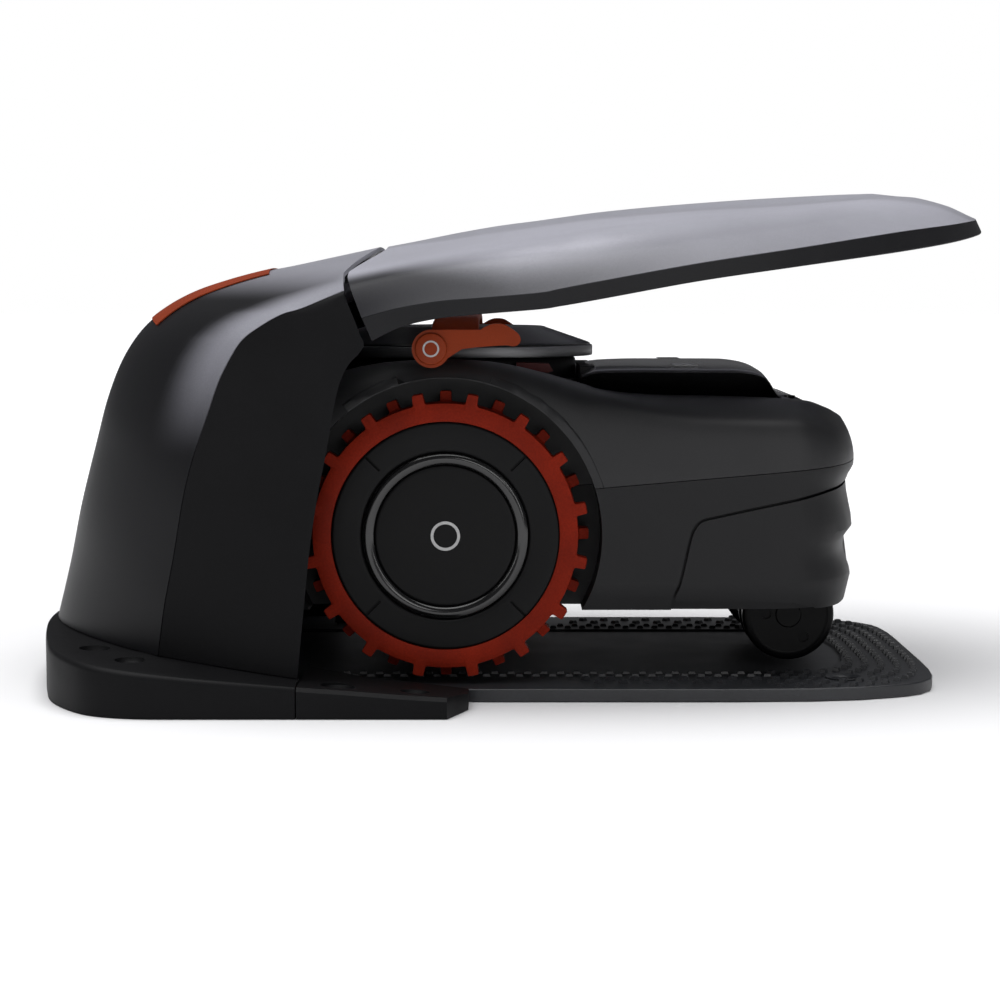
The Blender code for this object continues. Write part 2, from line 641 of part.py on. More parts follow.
def make_turret():
    """The round turret: a fixed base and the big cap that is pressed to stop the machine."""
    steps = 32
    rings = []
    for r, z in ((.0100, None), (.0400, None), (.0750, None), (.1050, None), (.1050, .2680),
                 (.0980, .2705)):
        ring = []
        for k in range(steps):
            a = 2 * pi * k / steps
            x = TURRET[0] + r * cos(a)
            ring.append((x, r * sin(a), table(DECK_BED, x) + .0016 if z is None else z))
        rings.append(ring)
    loft("turret_base", rings)
    cap = [(0, .0260), (.0770, .0250), (.0800, .0240), (.1150, .0118), (.1180, .0098),
           (.1180, .0092), (.1080, .0092), (.1080, .0060), (0, .0060)]
    turned("stop_cap", cap, (TURRET[0], 0, .2715), steps=32)
    band = [(.1200, .0082), (.1195, .0088), (.1090, .0088), (.1090, .0012), (.1195, .0012),
            (.1200, .0018)]
    turned("stop_band", band, (TURRET[0], 0, .2700), steps=32)
    for side, tag in ((1, "l"), (-1, "r")):
        y = sorted((side * .0915, side * .1080))
        lamp = [(.0040, .2620), (.0300, .2590), (.0345, .2605), (.0310, .2665), (.0040, .2675)]
        prism("status_lamp_" + tag, lamp, y[0], y[1], "y")


# ---------------------------------------------------------------- carry handle



def arm_outline():
    """The side view of an arm: the round boss, the bar and the hooked tip."""
    x, z = PIVOT
    boss = [(x + .0152 * cos(radians(a)), z + .0152 * sin(radians(a)))
            for a in range(95, 331, 19)]
    return boss + [(-.0470, .2795), (-.0300, .2818), (-.0060, .2836), (.0000, .2828),
                   (.0040, .2836), (.0068, .2872), (.0050, .2925), (-.0010, .2972),
                   (-.0070, .3003), (-.0150, .3006), (-.0210, .2985), (-.0250, .2960),
                   (-.0540, .2960)]


def make_handle():
    """Two arms joined over the turret by one bowed panel."""
    sides = []
    for side, tag in ((1, "l"), (-1, "r")):
        y = sorted((side * .1768, side * .1900))
        sides.append(prism("arm_" + tag, arm_outline(), y[0], y[1], "y", cutter=side < 0))
        sides[-1].name = "handle" if side > 0 else "arm_r"
        boss = [(0, 0), (.0128, 0), (.0122, .0020), (0, .0024)]
        if side < 0:
            boss = [(r, -h) for r, h in boss]
        turned("handle_cap_" + tag, boss, (PIVOT[0], side * .1904, PIVOT[1]), "y", 28)
    rings = []
    for y, low, high, back in ((-.1850, .2880, .2945, -.0640), (-.1790, .2925, .3000, -.0640),
                               (-.1660, .2995, .3060, -.0620), (-.1200, .3025, .3078, -.0600),
                               (-.0500, .3042, .3090, -.0590), (.0500, .3042, .3090, -.0590),
                               (.1200, .3025, .3078, -.0600), (.1660, .2995, .3060, -.0620),
                               (.1790, .2925, .3000, -.0640), (.1850, .2880, .2945, -.0640)):
        rings.append([(back, y, low), (-.0290, y, low), (-.0262, y, low + .0015),
                      (-.0275, y, high - .0010), (-.0300, y, high), (back + .002, y, high)])
    panel = loft("handle_panel", rings, cutter=True)
    join(sides[0], panel, sides[1])


make_body()
make_deck()
make_turret()
make_handle()


# ---------------------------------------------------------------- drive wheels

def tyre_profile(outer, inner):
    """(radius, offset) round the tyre's section, with the outer and inner lug up or down."""
    return [(.0918, -.0195), (.0918, .0195), (.1017, .0200), (.1062 + .0092 * outer, .0182),
            (.1070 + .0084 * outer, .0020), (.1070 + .0084 * inner, -.0020),
            (.1062 + .0092 * inner, -.0182), (.1017, -.0200)]


def make_tyre(side, tag):
    """Sixteen lugs on the outer edge and sixteen between them on the inner edge."""
    rings = []
    for lug in range(32):
        outer = lug % 2 == 0
        middle = (lug + 1) * 11.25
        for turn, up in ((-2.2, 1), (2.2, 1), (5.625, 0)):
            a = radians(middle + turn)
            profile = tyre_profile(up * outer, up * (not outer))
            rings.append([Vector((WHEEL[0] + r * sin(a), side * (TYRE_Y + h),
                                  WHEEL[1] + r * cos(a))) for r, h in profile])
    n = len(rings[0])
    verts = [p for ring in rings for p in ring]
    faces = []
    for k in range(len(rings)):
        m = (k + 1) % len(rings)
        for i in range(n):
            j = (i + 1) % n
            faces.append((k * n + i, k * n + j, m * n + j, m * n + i))
    body("tyre_" + tag, verts, faces)


def make_wheel(side, tag):
    def turn(name, profile, steps):
        profile = [(r, side * h) for r, h in profile]
        return turned(name + tag, profile, (WHEEL[0], side * TYRE_Y, WHEEL[1]), "y", steps)
    make_tyre(side, tag)
    turn("wheel_rim_", [(0, -.0420), (.0060, -.0420), (.0060, -.0185), (.0300, -.0185),
                        (.0300, -.0120), (.0860, -.0120), (.0880, -.0185), (.0914, -.0185),
                        (.0914, .0120), (0, .0120)], 28)
    cover = turn("hub_cover_", [(0, .0125), (.0914, .0125), (.0914, .0180), (.0900, .0198),
                                (.0700, .0186), (.0675, .0172), (.0672, .0150), (.0568, .0150),
                                (.0564, .0172), (.0550, .0180), (0, .0182)], 28)
    for k in range(4):
        a = radians(45 + 90 * k)
        slot = box("slot_%s_%d" % (tag, k), (.0745, .0925), (-.0007, .0007), (.0166, .03), True)
        for v in slot.data.vertices:
            x, y, z = v.co
            v.co = (WHEEL[0] + x * sin(a) + y * cos(a), side * (TYRE_Y + z),
                    WHEEL[1] + x * cos(a) - y * sin(a))
        if side < 0:
            slot.data.flip_normals()
        cut(cover, slot)
    turn("hub_ring_", [(.0571, .0153), (.0669, .0153), (.0669, .0178), (.0650, .0196),
                       (.0625, .0202), (.0592, .0196), (.0571, .0180)], 28)
    cylinder("drive_motor_" + tag, (WHEEL[0], .0960 if side > 0 else -.1270, WHEEL[1]), .0270,
             .0310, "y", 28)


# ---------------------------------------------------------------- casters



def make_caster(side, tag):
    """A twin-disc caster: the wheel's two discs turn either side of one middle fork."""
    y = side * CASTER_Y
    half = [(.0090, .0062), (.0350, .0062), (.0385, .0100), (.0385, .0160), (.0350, .0200),
            (0, .0200)]
    profile = [(r, h) for r, h in half] + [(r, -h) for r, h in reversed(half)]
    wheel = turned("caster_wheel_" + tag, profile, (AXLE[0], y, AXLE[1]), "y", 20)
    for k, (dx, dz) in enumerate(((-.0185, .0005), (.0130, -.0190))):
        where = "caster_cup_%s_%d" % (tag, k)
        cut(wheel, cylinder(where, (AXLE[0] + dx, y + side * .0185 - .002 * (side < 0), AXLE[1] + dz),
                            .0042, .004, "y", 14, True))
    outline = [(AXLE[0] + .0145 * cos(radians(a)), AXLE[1] + .0145 * sin(radians(a)))
               for a in range(-150, 61, 15)]
    outline += [(.2200, .0985), (.1960, .0985), (.1960, .0900)]
    fork = prism("caster_fork_" + tag, outline, y - .0056, y + .0056, "y")
    join(fork, cylinder("stem_" + tag, (SWIVEL_X, y, .0950), .0058, .0180, cutter=True, steps=20))
    cut(fork, cylinder("axle_hole_" + tag, (AXLE[0], y - .02, AXLE[1]), .0094, .04, "y", 24, True))


# ---------------------------------------------------------------- cutting system

def make_blades():
    """The motor in its height carriage, the spinning disc and its three swinging blades."""
    cylinder("blade_motor", (MOTOR_X, 0, .0640), .0270, .0760, steps=32)
    tube = turned("height_carriage", [(.0274, .0), (.0320, .0), (.0320, .0800), (.0274, .0800)],
                  (MOTOR_X, 0, .0620), steps=28)
    join(tube, box("lift_lug", (MOTOR_X - .006, MOTOR_X + .006), (.0300, .0330), (.1000, .1400), True))
    disc = turned("blade_disc", [(0, .0), (.0600, .0), (.0700, .0012), (.0700, .0036),
                                 (.0250, .0036), (.0180, .0090), (.0050, .0090),
                                 (.0050, .0136), (0, .0136)],
                  (MOTOR_X, 0, .0500), steps=30)
    for k in range(3):
        a = radians(90 + 120 * k)
        cx, cy = MOTOR_X + .0600 * cos(a), .0600 * sin(a)
        way = cylinder("pivot_way_%d" % k, (cx, cy, .04), .0026, .03, cutter=True, steps=12)
        cut(disc, way)
        outline = [(-.0060, -.0055), (.0285, -.0065), (.0330, -.0020), (.0330, .0020),
                   (.0285, .0065), (-.0060, .0055)]
        turned_out = [(cx + u * cos(a) - v * sin(a), cy + u * sin(a) + v * cos(a))
                      for u, v in outline]
        blade = prism("blade_%d" % (k + 1), turned_out, .0484, .0494)
        stud = cylinder("blade_stud_%d" % k, (cx, cy, .0470), .0021, .0068, cutter=True, steps=12)
        join(blade, stud)


# ---------------------------------------------------------------- inside the body

def make_insides():
    frame = box("chassis", (-.195, .262), (-.118, .118), (.1020, .1060))
    for x, y in ((-.170, .090), (-.170, -.090), (.020, .090), (.020, -.090)):
        post = cylinder("post_%d_%d" % (1000 * x, 1000 * y), (x, y, .0794), .0060, .0240,
                        cutter=True, steps=16)
        join(frame, post)
    cut(frame, cylinder("motor_way", (MOTOR_X, 0, .05), .0345, .2, cutter=True, steps=32))
    for side, tag in ((1, "l"), (-1, "r")):
        cut(frame, cylinder("stem_way_" + tag, (SWIVEL_X, side * CASTER_Y, .05), .0062, .1,
                            cutter=True, steps=20))
        cut(frame, box("motor_gap_" + tag, (-.086, -.021), tuple(sorted((side * .094, side * .2))),
                       (.09, .12), True))
    box("battery", (-.192, -.092), (-.075, .075), (.1064, .1720))
    box("control_board", (.112, .228), (-.070, .070), (.1500, .1516))
    box("board_mount", (.112, .228), (-.050, .050), (.1066, .1496))
    for side, tag in ((1, "l"), (-1, "r")):
        y = sorted((side * .0150, side * .0290))
        box("charge_plate_" + tag, (-.2275, -.2205), tuple(y), (.1045, .1255))


for hand, letter in ((1, "l"), (-1, "r")):
    make_wheel(hand, letter)
    make_caster(hand, letter)
make_blades()
make_insides()


# ---------------------------------------------------------------- joints' axes and materials

def hang(name, place, pieces, parent=None):
    """An empty on a joint's axis, with the pieces that move by that joint parented to it."""
    axis = bpy.data.objects.new(name, None)
    axis.empty_display_size = .04
    axis["place"] = tuple(place)
    PARTS.objects.link(axis)
    for obj, above in [(axis, parent)] + [(bpy.data.objects[piece], axis) for piece in pieces]:
        spot = Vector(place) if obj is axis else obj.location.copy()
        obj.parent = above
        obj.location = spot - Vector(above["place"]) if above else spot
    return axis


def both(*names):
    return [name + tag for name in names for tag in ("_l", "_r")]


hang("lid_hinge_axis", (HINGE[0], 0, HINGE[1]), ["lid_shell", "lid_rim"] + both("hinge_arm"))
mower = hang("mower_drive_axis", (0, 0, 0), [
    "lower_shell", "upper_cover", "deck_panel", "turret_base", "battery", "control_board",
    "board_mount", "chassis"] + both("status_lamp", "drive_motor", "charge_plate"))
hang("bumper_press_axis", (.200, 0, .100), ["bumper"], mower)
hang("stop_press_axis", (TURRET[0], 0, .280), ["stop_cap", "stop_band"], mower)
hang("handle_hinge_axis", (PIVOT[0], 0, PIVOT[1]), ["handle"] + both("handle_cap"), mower)
carriage = hang("carriage_lift_axis", (MOTOR_X, 0, .100), ["height_carriage", "blade_motor"], mower)
disc = hang("disc_spin_axis", (MOTOR_X, 0, .0530), ["blade_disc"], carriage)
for k in range(3):
    a = radians(90 + 120 * k)
    hang("blade_swing_axis_%d" % (k + 1), (MOTOR_X + .06 * cos(a), .06 * sin(a), .0490),
         ["blade_%d" % (k + 1)], disc)
for hand, letter in ((1, "l"), (-1, "r")):
    hang("contact_press_axis_" + letter, (-.255, hand * .022, .115), ["contact_pad_" + letter])
    hang("wheel_spin_axis_" + letter, (WHEEL[0], hand * TYRE_Y, WHEEL[1]),
         [n + "_" + letter for n in ("tyre", "wheel_rim", "hub_cover", "hub_ring")], mower)
    swivel = hang("caster_turn_axis_" + letter, (SWIVEL_X, hand * CASTER_Y, .0950),
                  ["caster_fork_" + letter], mower)
    hang("caster_spin_axis_" + letter, (AXLE[0], hand * CASTER_Y, AXLE[1]),
         ["caster_wheel_" + letter], swivel)

# Linear colour, roughness, metallic, and the pieces that have them.
LOOKS = [
    ((.420, .420, .460), .38, .5, ["garage_shell", "lid_shell"]),
    ((.060, .060, .065), .50, .1, ["lid_rim"]),
    ((.030, .030, .033), .60, 0, ["skirt"] + both("side_panel", "dock_foot")),
    ((.045, .048, .052), .70, 0, ["base_plate"]),
    ((.500, .100, .030), .45, 0, ["accent_strip", "handle"] + both("handle_cap")),
    ((.035, .035, .037), .50, 0, ["lower_shell", "upper_cover", "bumper"]),
    ((.012, .012, .013), .12, 0, ["deck_panel", "stop_cap"] + both("hub_ring")),
    ((.018, .018, .019), .55, 0, ["turret_base", "charging_tower", "contact_head", "height_carriage",
                                  "board_mount", "chassis"]
     + both("hub_cover", "wheel_rim", "caster_fork", "hinge_bracket", "hinge_arm")),
    ((.550, .550, .570), .30, 1, ["stop_band"]),
    ((.300, .030, .030), .15, 0, both("status_lamp")),
    ((.420, .050, .020), .70, 0, both("tyre")),
    ((.012, .012, .013), .60, 0, both("caster_wheel")),
    ((.400, .400, .420), .40, 1, ["blade_motor", "blade_disc"] + both("drive_motor")),
    ((.500, .500, .520), .30, 1, ["blade_1", "blade_2", "blade_3"] + both("hinge_pin")),
    ((.620, .460, .200), .30, 1, both("contact_pad", "charge_plate")),
    ((.020, .120, .050), .40, 0, ["control_board", "charger_board"]),
    ((.050, .070, .140), .40, 0, ["battery"])]
for colour, roughness, metallic, names in LOOKS:
    for name in names:
        material = bpy.data.materials.new(name)
        material.use_nodes = True
        surface = material.node_tree.nodes["Principled BSDF"]
        surface.inputs["Base Color"].default_value = (*colour, 1)
        surface.inputs["Roughness"].default_value = roughness
        surface.inputs["Metallic"].default_value = metallic
        mesh = bpy.data.objects[name].data
        mesh.materials.append(material)
        if mesh.polygons:
            mesh.shade_smooth()
            mesh.set_sharp_from_angle(angle=radians(35))

for piece in list(PARTS.objects) + list(CUTTERS.objects):
    if piece.parent is None:
        piece.location.x += CENTRING
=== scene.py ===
"""The looks of the robotic lawn mower in its charging garage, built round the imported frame.
Metres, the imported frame's own axes: +X the mower's forward direction, +Z up."""

import json
from math import cos, pi, radians, sin

import bpy
from mathutils import Matrix, Vector

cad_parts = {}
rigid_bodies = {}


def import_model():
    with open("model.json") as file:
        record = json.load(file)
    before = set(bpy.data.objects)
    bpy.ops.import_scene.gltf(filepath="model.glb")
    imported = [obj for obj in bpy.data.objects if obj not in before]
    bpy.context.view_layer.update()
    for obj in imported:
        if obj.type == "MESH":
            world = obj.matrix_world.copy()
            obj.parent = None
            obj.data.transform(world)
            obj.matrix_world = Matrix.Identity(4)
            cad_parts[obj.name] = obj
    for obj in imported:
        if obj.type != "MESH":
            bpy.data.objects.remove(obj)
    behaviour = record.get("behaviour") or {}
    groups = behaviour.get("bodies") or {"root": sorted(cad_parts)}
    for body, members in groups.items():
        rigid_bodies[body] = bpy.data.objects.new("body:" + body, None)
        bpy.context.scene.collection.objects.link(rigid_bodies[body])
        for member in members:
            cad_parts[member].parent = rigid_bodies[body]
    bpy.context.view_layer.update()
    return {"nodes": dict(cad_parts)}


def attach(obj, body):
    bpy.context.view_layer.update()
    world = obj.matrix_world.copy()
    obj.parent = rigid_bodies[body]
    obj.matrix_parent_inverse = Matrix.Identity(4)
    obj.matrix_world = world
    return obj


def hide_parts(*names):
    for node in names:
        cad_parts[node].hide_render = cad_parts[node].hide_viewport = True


for old in list(bpy.data.objects):
    bpy.data.objects.remove(old, do_unlink=True)
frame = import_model()
NODES = frame["nodes"]
CENTRING = -.00425  # the tables are laid out from the turret, and the footprint's middle is at X=0
SIDES = ((1, "l"), (-1, "r"))


# ---------------------------------------------------------------- materials

COLOURS_IN, COLOUR_OUT = (6, 7), 2  # a Mix node's colour sockets, which share their names


def wire(tree, node, values):
    """Gives a node's inputs their values, or links them to other nodes' outputs."""
    for key, value in values.items():
        if isinstance(value, bpy.types.NodeSocket):
            tree.links.new(value, node.inputs[key])
        else:
            node.inputs[key].default_value = value


def shader(name):
    made = bpy.data.materials.new(name)
    made.use_nodes = True
    tree = made.node_tree
    return made, tree, tree.nodes["Principled BSDF"], tree.nodes.new("ShaderNodeTexCoord")


def noise(tree, coords, scale, detail=2.0, stretch=None):
    node = tree.nodes.new("ShaderNodeTexNoise")
    source = coords.outputs["Object"]
    if stretch:
        mapping = tree.nodes.new("ShaderNodeMapping")
        wire(tree, mapping, {"Scale": stretch, "Vector": source})
        source = mapping.outputs["Vector"]
    wire(tree, node, {"Scale": scale, "Detail": detail, "Vector": source})
    return node.outputs["Fac"]


def ramp(tree, value, low, high, at=(.3, .7)):
    """A value turned into a colour between two."""
    node = tree.nodes.new("ShaderNodeValToRGB")
    for stop, place, colour in zip(node.color_ramp.elements, at, (low, high)):
        stop.position = place
        stop.color = (*colour, 1)
    tree.links.new(value, node.inputs["Fac"])
    return node.outputs["Color"]


def between(tree, value, low, high, start=.25, end=.75):
    """A value that runs from start to end, made to run from low to high."""
    node = tree.nodes.new("ShaderNodeMapRange")
    wire(tree, node, {"From Min": start, "From Max": end, "To Min": low, "To Max": high,
                      "Value": value})
    return node.outputs["Result"]


def mixed(tree, value, one, two, blend="MIX"):
    """Two colours mixed by the value, or in full if it is None."""
    node = tree.nodes.new("ShaderNodeMix")
    node.data_type, node.blend_type = "RGBA", blend
    node.inputs["Factor"].default_value = 1.0
    if value is not None:
        tree.links.new(value, node.inputs["Factor"])
    for key, colour in zip(COLOURS_IN, (one, two)):
        wire(tree, node, {key: (*colour, 1) if isinstance(colour, tuple) else colour})
    return node.outputs[COLOUR_OUT]


def bumped(tree, bsdf, height, depth, strength=.5):
    node = tree.nodes.new("ShaderNodeBump")
    wire(tree, node, {"Distance": depth, "Strength": strength, "Height": height})
    tree.links.new(node.outputs["Normal"], bsdf.inputs["Normal"])


def scaled(colour, k):
    return tuple(c * k for c in colour)


def plastic(name, colour, rough, grain=700, depth=.00006, spread=.12, coat=0.0, specular=.5):
    """Moulded plastic or rubber: a fine moulded grain, with colour and gloss that vary a little."""
    made, tree, bsdf, coords = shader(name)
    broad, fine = noise(tree, coords, 22, 4), noise(tree, coords, grain)
    tint = ramp(tree, broad, scaled(colour, 1 - spread), scaled(colour, 1 + spread))
    speck = ramp(tree, fine, (1 - spread * .6,) * 3, (1 + spread * .6,) * 3, (.35, .65))
    wire(tree, bsdf, {"Base Color": mixed(tree, None, tint, speck, "MULTIPLY"),
                      "Roughness": between(tree, broad, rough - .05, rough + .05),
                      "Specular IOR Level": specular, "Coat Weight": coat,
                      "Coat Roughness": .12})
    bumped(tree, bsdf, fine, depth)
    return made


def paint(name, bright, dark):
    """Metallic flake paint. A vertex attribute runs from painted shade, near black and not metallic,
    to the lit silver.
    """
    made, tree, bsdf, coords = shader(name)
    attribute = tree.nodes.new("ShaderNodeAttribute")
    attribute.attribute_name = "painted_light"
    painted_light = attribute.outputs["Fac"]
    broad, flake = noise(tree, coords, 9, 3), noise(tree, coords, 2600, 1)
    glint = ramp(tree, flake, scaled(bright, .80), scaled(bright, 1.22), (.38, .66))
    soft = ramp(tree, broad, (.93,) * 3, (1.05,) * 3)
    silver = mixed(tree, None, glint, soft, "MULTIPLY")
    wire(tree, bsdf, {"Base Color": mixed(tree, painted_light, dark, silver),
                      "Metallic": between(tree, painted_light, .05, .45, 0, 1),
                      "Roughness": between(tree, flake, .36, .46),
                      "Specular IOR Level": between(tree, painted_light, .08, .40, 0, 1),
                      "Coat Weight": between(tree, painted_light, 0, .15, 0, 1),
                      "Coat Roughness": .25})
    bumped(tree, bsdf, flake, .00002, .25)
    return made


def brushed(name, colour, rough, along):
    """Drawn or ground metal, with streaks along one axis."""
    made, tree, bsdf, coords = shader(name)
    streak = noise(tree, coords, 60, 3, along)
    wire(tree, bsdf, {"Base Color": ramp(tree, streak, scaled(colour, .8), scaled(colour, 1.15)),
                      "Roughness": between(tree, streak, rough - .08, rough + .08),
                      "Metallic": 1.0})
    bumped(tree, bsdf, streak, .00003, .4)
    return made


def board():
    """A lacquered circuit board with its tracks."""
    made, tree, bsdf, coords = shader("circuit_board")
    brick = tree.nodes.new("ShaderNodeTexBrick")
    wire(tree, brick, {"Scale": 90, "Mortar Size": .012, "Brick Width": .7,
                       "Color1": (.008, .07, .03, 1), "Color2": (.010, .09, .04, 1),
                       "Mortar": (.05, .22, .09, 1), "Vector": coords.outputs["Object"]})
    wire(tree, bsdf, {"Base Color": brick.outputs["Color"], "Roughness": .35})
    bumped(tree, bsdf, brick.outputs["Fac"], .00008)
    return made


# The second colour is the near-black painted shade that the silver paint runs to where its attribute
# is low.
SILVER = paint("silver_paint", (.50, .50, .565), (.0045, .0045, .0050))
RIM_GREY = plastic("dark_rim", (.0095, .0095, .0108), .48, specular=.2)
CHARCOAL = plastic("charcoal_plastic", (.0042, .0042, .0048), .55, grain=1100, spread=.15,
                   specular=.12)
MAT_GREY = plastic("mat_plastic", (.0165, .0175, .0205), .43, grain=500, depth=.0001, spread=.2,
                   specular=.6)
ORANGE = plastic("orange_plastic", (.215, .027, .0040), .48, grain=900, spread=.10, specular=.15)
MOWER_GREY = plastic("mower_plastic", (.0080, .0080, .0088), .50, grain=1300, spread=.14,
                     specular=.25)
COVER_GREY = plastic("cover_plastic", (.0132, .0132, .0142), .48, grain=1300, spread=.14,
                     specular=.35)
GLOSS = plastic("gloss_black", (.0040, .0040, .0042), .16, grain=300, depth=.00001, coat=.3)
CAP_BLACK = plastic("cap_black", (.0030, .0030, .0032), .34, grain=900, depth=.00002, specular=.2)
SOFT_BLACK = plastic("soft_black", (.0050, .0050, .0054), .50, grain=1000, specular=.25)
HUB_BLACK = plastic("hub_black", (.0032, .0032, .0035), .45, grain=1400, depth=.00004,
                    specular=.15)
TYRE_RED = plastic("orange_tyre", (.180, .0115, .0030), .66, grain=600, depth=.00012, spread=.2,
                   specular=.1)
RUBBER = plastic("black_rubber", (.0022, .0022, .0025), .38, grain=800, spread=.2, specular=.12)
RED_LENS = plastic("red_lens", (.060, .005, .005), .36, grain=200, depth=.00003, specular=.2)
# A paler copy of the mat's plastic: painted light for the bed under the mower.
BED_PAINTED_LIGHT = plastic("mat_bed_painted_light", (.050, .052, .057), .46, grain=900, spread=.15, specular=.5)
BATTERY = plastic("battery_wrap", (.012, .020, .050), .38, grain=400)
BAND = brushed("bright_band", (.20, .20, .205), .46, (1, 1, 30))
STEEL = brushed("steel", (.42, .42, .44), .30, (1, 12, 1))
MOTOR = brushed("motor_metal", (.30, .30, .32), .38, (1, 1, 14))
BRASS = brushed("contact_brass", (.55, .38, .14), .28, (14, 1, 1))
LIGHT_GREY = plastic("light_mark", (.42, .42, .42), .5, grain=500)
BOARD = board()


# ---------------------------------------------------------------- mesh helpers

def added(name, data):
    """A new object in the scene."""
    obj = bpy.data.objects.new(name, data)
    bpy.context.scene.collection.objects.link(obj)
    return obj


def volume(verts, faces):
    total = 0.0
    for face in faces:
        a = Vector(verts[face[0]])
        for i in range(1, len(face) - 1):
            total += a.dot(Vector(verts[face[i]]).cross(Vector(verts[face[i + 1]])))
    return total


def solid(name, verts, faces):
    """One closed mesh, turned to face out."""
    if volume(verts, faces) < 0:
        faces = [tuple(reversed(f)) for f in faces]
    mesh = bpy.data.meshes.new(name)
    mesh.from_pydata([tuple(v) for v in verts], [], faces)
    return added(name, mesh)


def quads(n, pairs, first=0):
    """The faces between rings of n points, for each pair of ring numbers."""
    return [(first + a * n + i, first + a * n + (i + 1) % n,
             first + b * n + (i + 1) % n, first + b * n + i) for a, b in pairs for i in range(n)]


def unrepeated(faces):
    """The faces without repeated corners, leaving out any that is a line or a point."""
    return [face for face in (tuple(dict.fromkeys(f)) for f in faces) if len(face) > 2]


def loft(name, rings):
    """Closed rings joined in order, each end closed by a fan round its middle."""
    n, last = len(rings[0]), len(rings) - 1
    verts = [Vector(p) for ring in rings for p in ring]
    faces = quads(n, [(k, k + 1) for k in range(last)])
    for first, step in ((0, -1), (last * n, 1)):
        middle = len(verts)
        verts.append(sum((verts[first + i] for i in range(n)), Vector()) / n)
        faces += [(first + i, first + (i + 1) % n, middle)[::step] for i in range(n)]
    return solid(name, verts, faces)


def prism(name, outline, low, high, axis="z"):
    n = len(outline)
    verts = [(a, b, h) if axis == "z" else (a, h, b) for h in (low, high) for a, b in outline]
    faces = [tuple(reversed(range(n))), tuple(range(n, 2 * n)), *quads(n, [(0, 1)])]
    return solid(name, verts, faces)


def across(name, outline):
    """An (X, Z) outline cut right through the mower, from side to side."""
    return prism(name, outline, -.4, .4, "y")


def box(name, x, y, z):
    y = sorted(y)
    return prism(name, [(x[0], y[0]), (x[1], y[0]), (x[1], y[1]), (x[0], y[1])], z[0], z[1])


def turned(name, profile, centre, axis="z", steps=96):
    """A closed (radius, height) profile turned about an axis; radius 0 makes a pole."""
    def put(r, h, a):
        if axis == "z":
            return (centre[0] + r * cos(a), centre[1] + r * sin(a), centre[2] + h)
        return (centre[0] + r * sin(a), centre[1] + h, centre[2] + r * cos(a))
    verts, index = [], []
    for r, h in profile:
        index.append([len(verts) + (s if r else 0) for s in range(steps)])
        verts += [put(r, h, 2 * pi * s / steps) for s in range(steps if r else 1)]
    faces = [(one[s], one[(s + 1) % steps], two[(s + 1) % steps], two[s])
             for one, two in zip(index, index[1:] + index[:1]) for s in range(steps)]
    return solid(name, verts, unrepeated(faces))


def cylinder(name, centre, radius, length, axis="z", steps=48):
    return turned(name, [(0, 0), (radius, 0), (radius, length), (0, length)], centre, axis, steps)


def sided(profile, side):
    """A profile with its heights on one side of the mower."""
    return [(r, side * h) for r, h in profile]


def mirrored(points):
    """An outline (X, Y) of the near half, with the far half added."""
    return points + [(x, -y) for x, y in reversed(points)]


def ringed(points):
    """A ring (X, Y, Z) of the near half, with the far half added."""
    return points + [(x, -y, z) for x, y, z in reversed(points)]


def carve(obj, others, operation="DIFFERENCE"):
    """Applies the Booleans, and removes the cutters."""
    for other in others:
        modifier = obj.modifiers.new(other.name, "BOOLEAN")
        modifier.operation, modifier.solver, modifier.object = operation, "EXACT", other
        bpy.context.view_layer.update()
        graph = bpy.context.evaluated_depsgraph_get()
        mesh = bpy.data.meshes.new_from_object(obj.evaluated_get(graph))
        obj.modifiers.clear()
        obj.data = mesh
    for other in others:
        bpy.data.objects.remove(other, do_unlink=True)
    return obj


def edge_radius(obj, width, segments=2, angle=40):
    edge = obj.modifiers.new("edge_radius", "BEVEL")
    edge.width, edge.segments, edge.limit_method = width, segments, "ANGLE"
    edge.angle_limit = radians(angle)


def finished(obj, body, material, node=None, angle=38, bevel=0.0, segments=2):
    """Gives a piece its material, its shading, its small edge radius and the body it rides on."""
    obj.data.materials.clear()
    obj.data.materials.append(material)
    obj.data.polygons.foreach_set("material_index", [0] * len(obj.data.polygons))
    obj.data.polygons.foreach_set("use_smooth", [True] * len(obj.data.polygons))
    obj.data.set_sharp_from_angle(angle=radians(angle))
    obj.data.transform(Matrix.Translation((CENTRING, 0, 0)))
    if bevel:
        edge_radius(obj, bevel, segments, angle)
    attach(obj, body)
    if node:
        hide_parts(node)
    return obj


def kept(node, material, bevel=.0006):
    """A CAD piece that stays, with its own material and rounded edges."""
    obj = NODES[node]
    obj.data.materials.clear()
    obj.data.materials.append(material)
    edge_radius(obj, bevel)


def toned(obj, rule):
    """Stores the paint's light and shade, from 0 for painted shade to 1 for lit silver, at each
    point.
    """
    store = obj.data.attributes.new("painted_light", "FLOAT", "POINT")
    store.data.foreach_set("value", [min(max(rule(v.co), 0.0), 1.0) for v in obj.data.vertices])


def ramped(x, low, high):
    t = min(max((x - low) / (high - low), 0.0), 1.0)
    return t * t * (3 - 2 * t)


def curve(rows, x):
    """Smooth interpolation in rows of (x, value), with no overshoot."""
    if x <= rows[0][0]:
        return rows[0][1]
    if x >= rows[-1][0]:
        return rows[-1][1]
    k = max(i for i in range(len(rows) - 1) if rows[i][0] <= x)
    slopes = [(b[1] - a[1]) / (b[0] - a[0]) for a, b in zip(rows, rows[1:])]

    def tangent(i):
        if i in (0, len(rows) - 1):
            return slopes[min(i, len(slopes) - 1)]
        a, b = slopes[i - 1], slopes[i]
        return 0.0 if a * b <= 0 else 2 * a * b / (a + b)
    (x0, v0), (x1, v1) = rows[k], rows[k + 1]
    h = x1 - x0
    t = (x - x0) / h
    return (v0 * (1 + 2 * t) * (1 - t) ** 2 + tangent(k) * h * t * (1 - t) ** 2
            + v1 * t * t * (3 - 2 * t) + tangent(k + 1) * h * t * t * (t - 1))


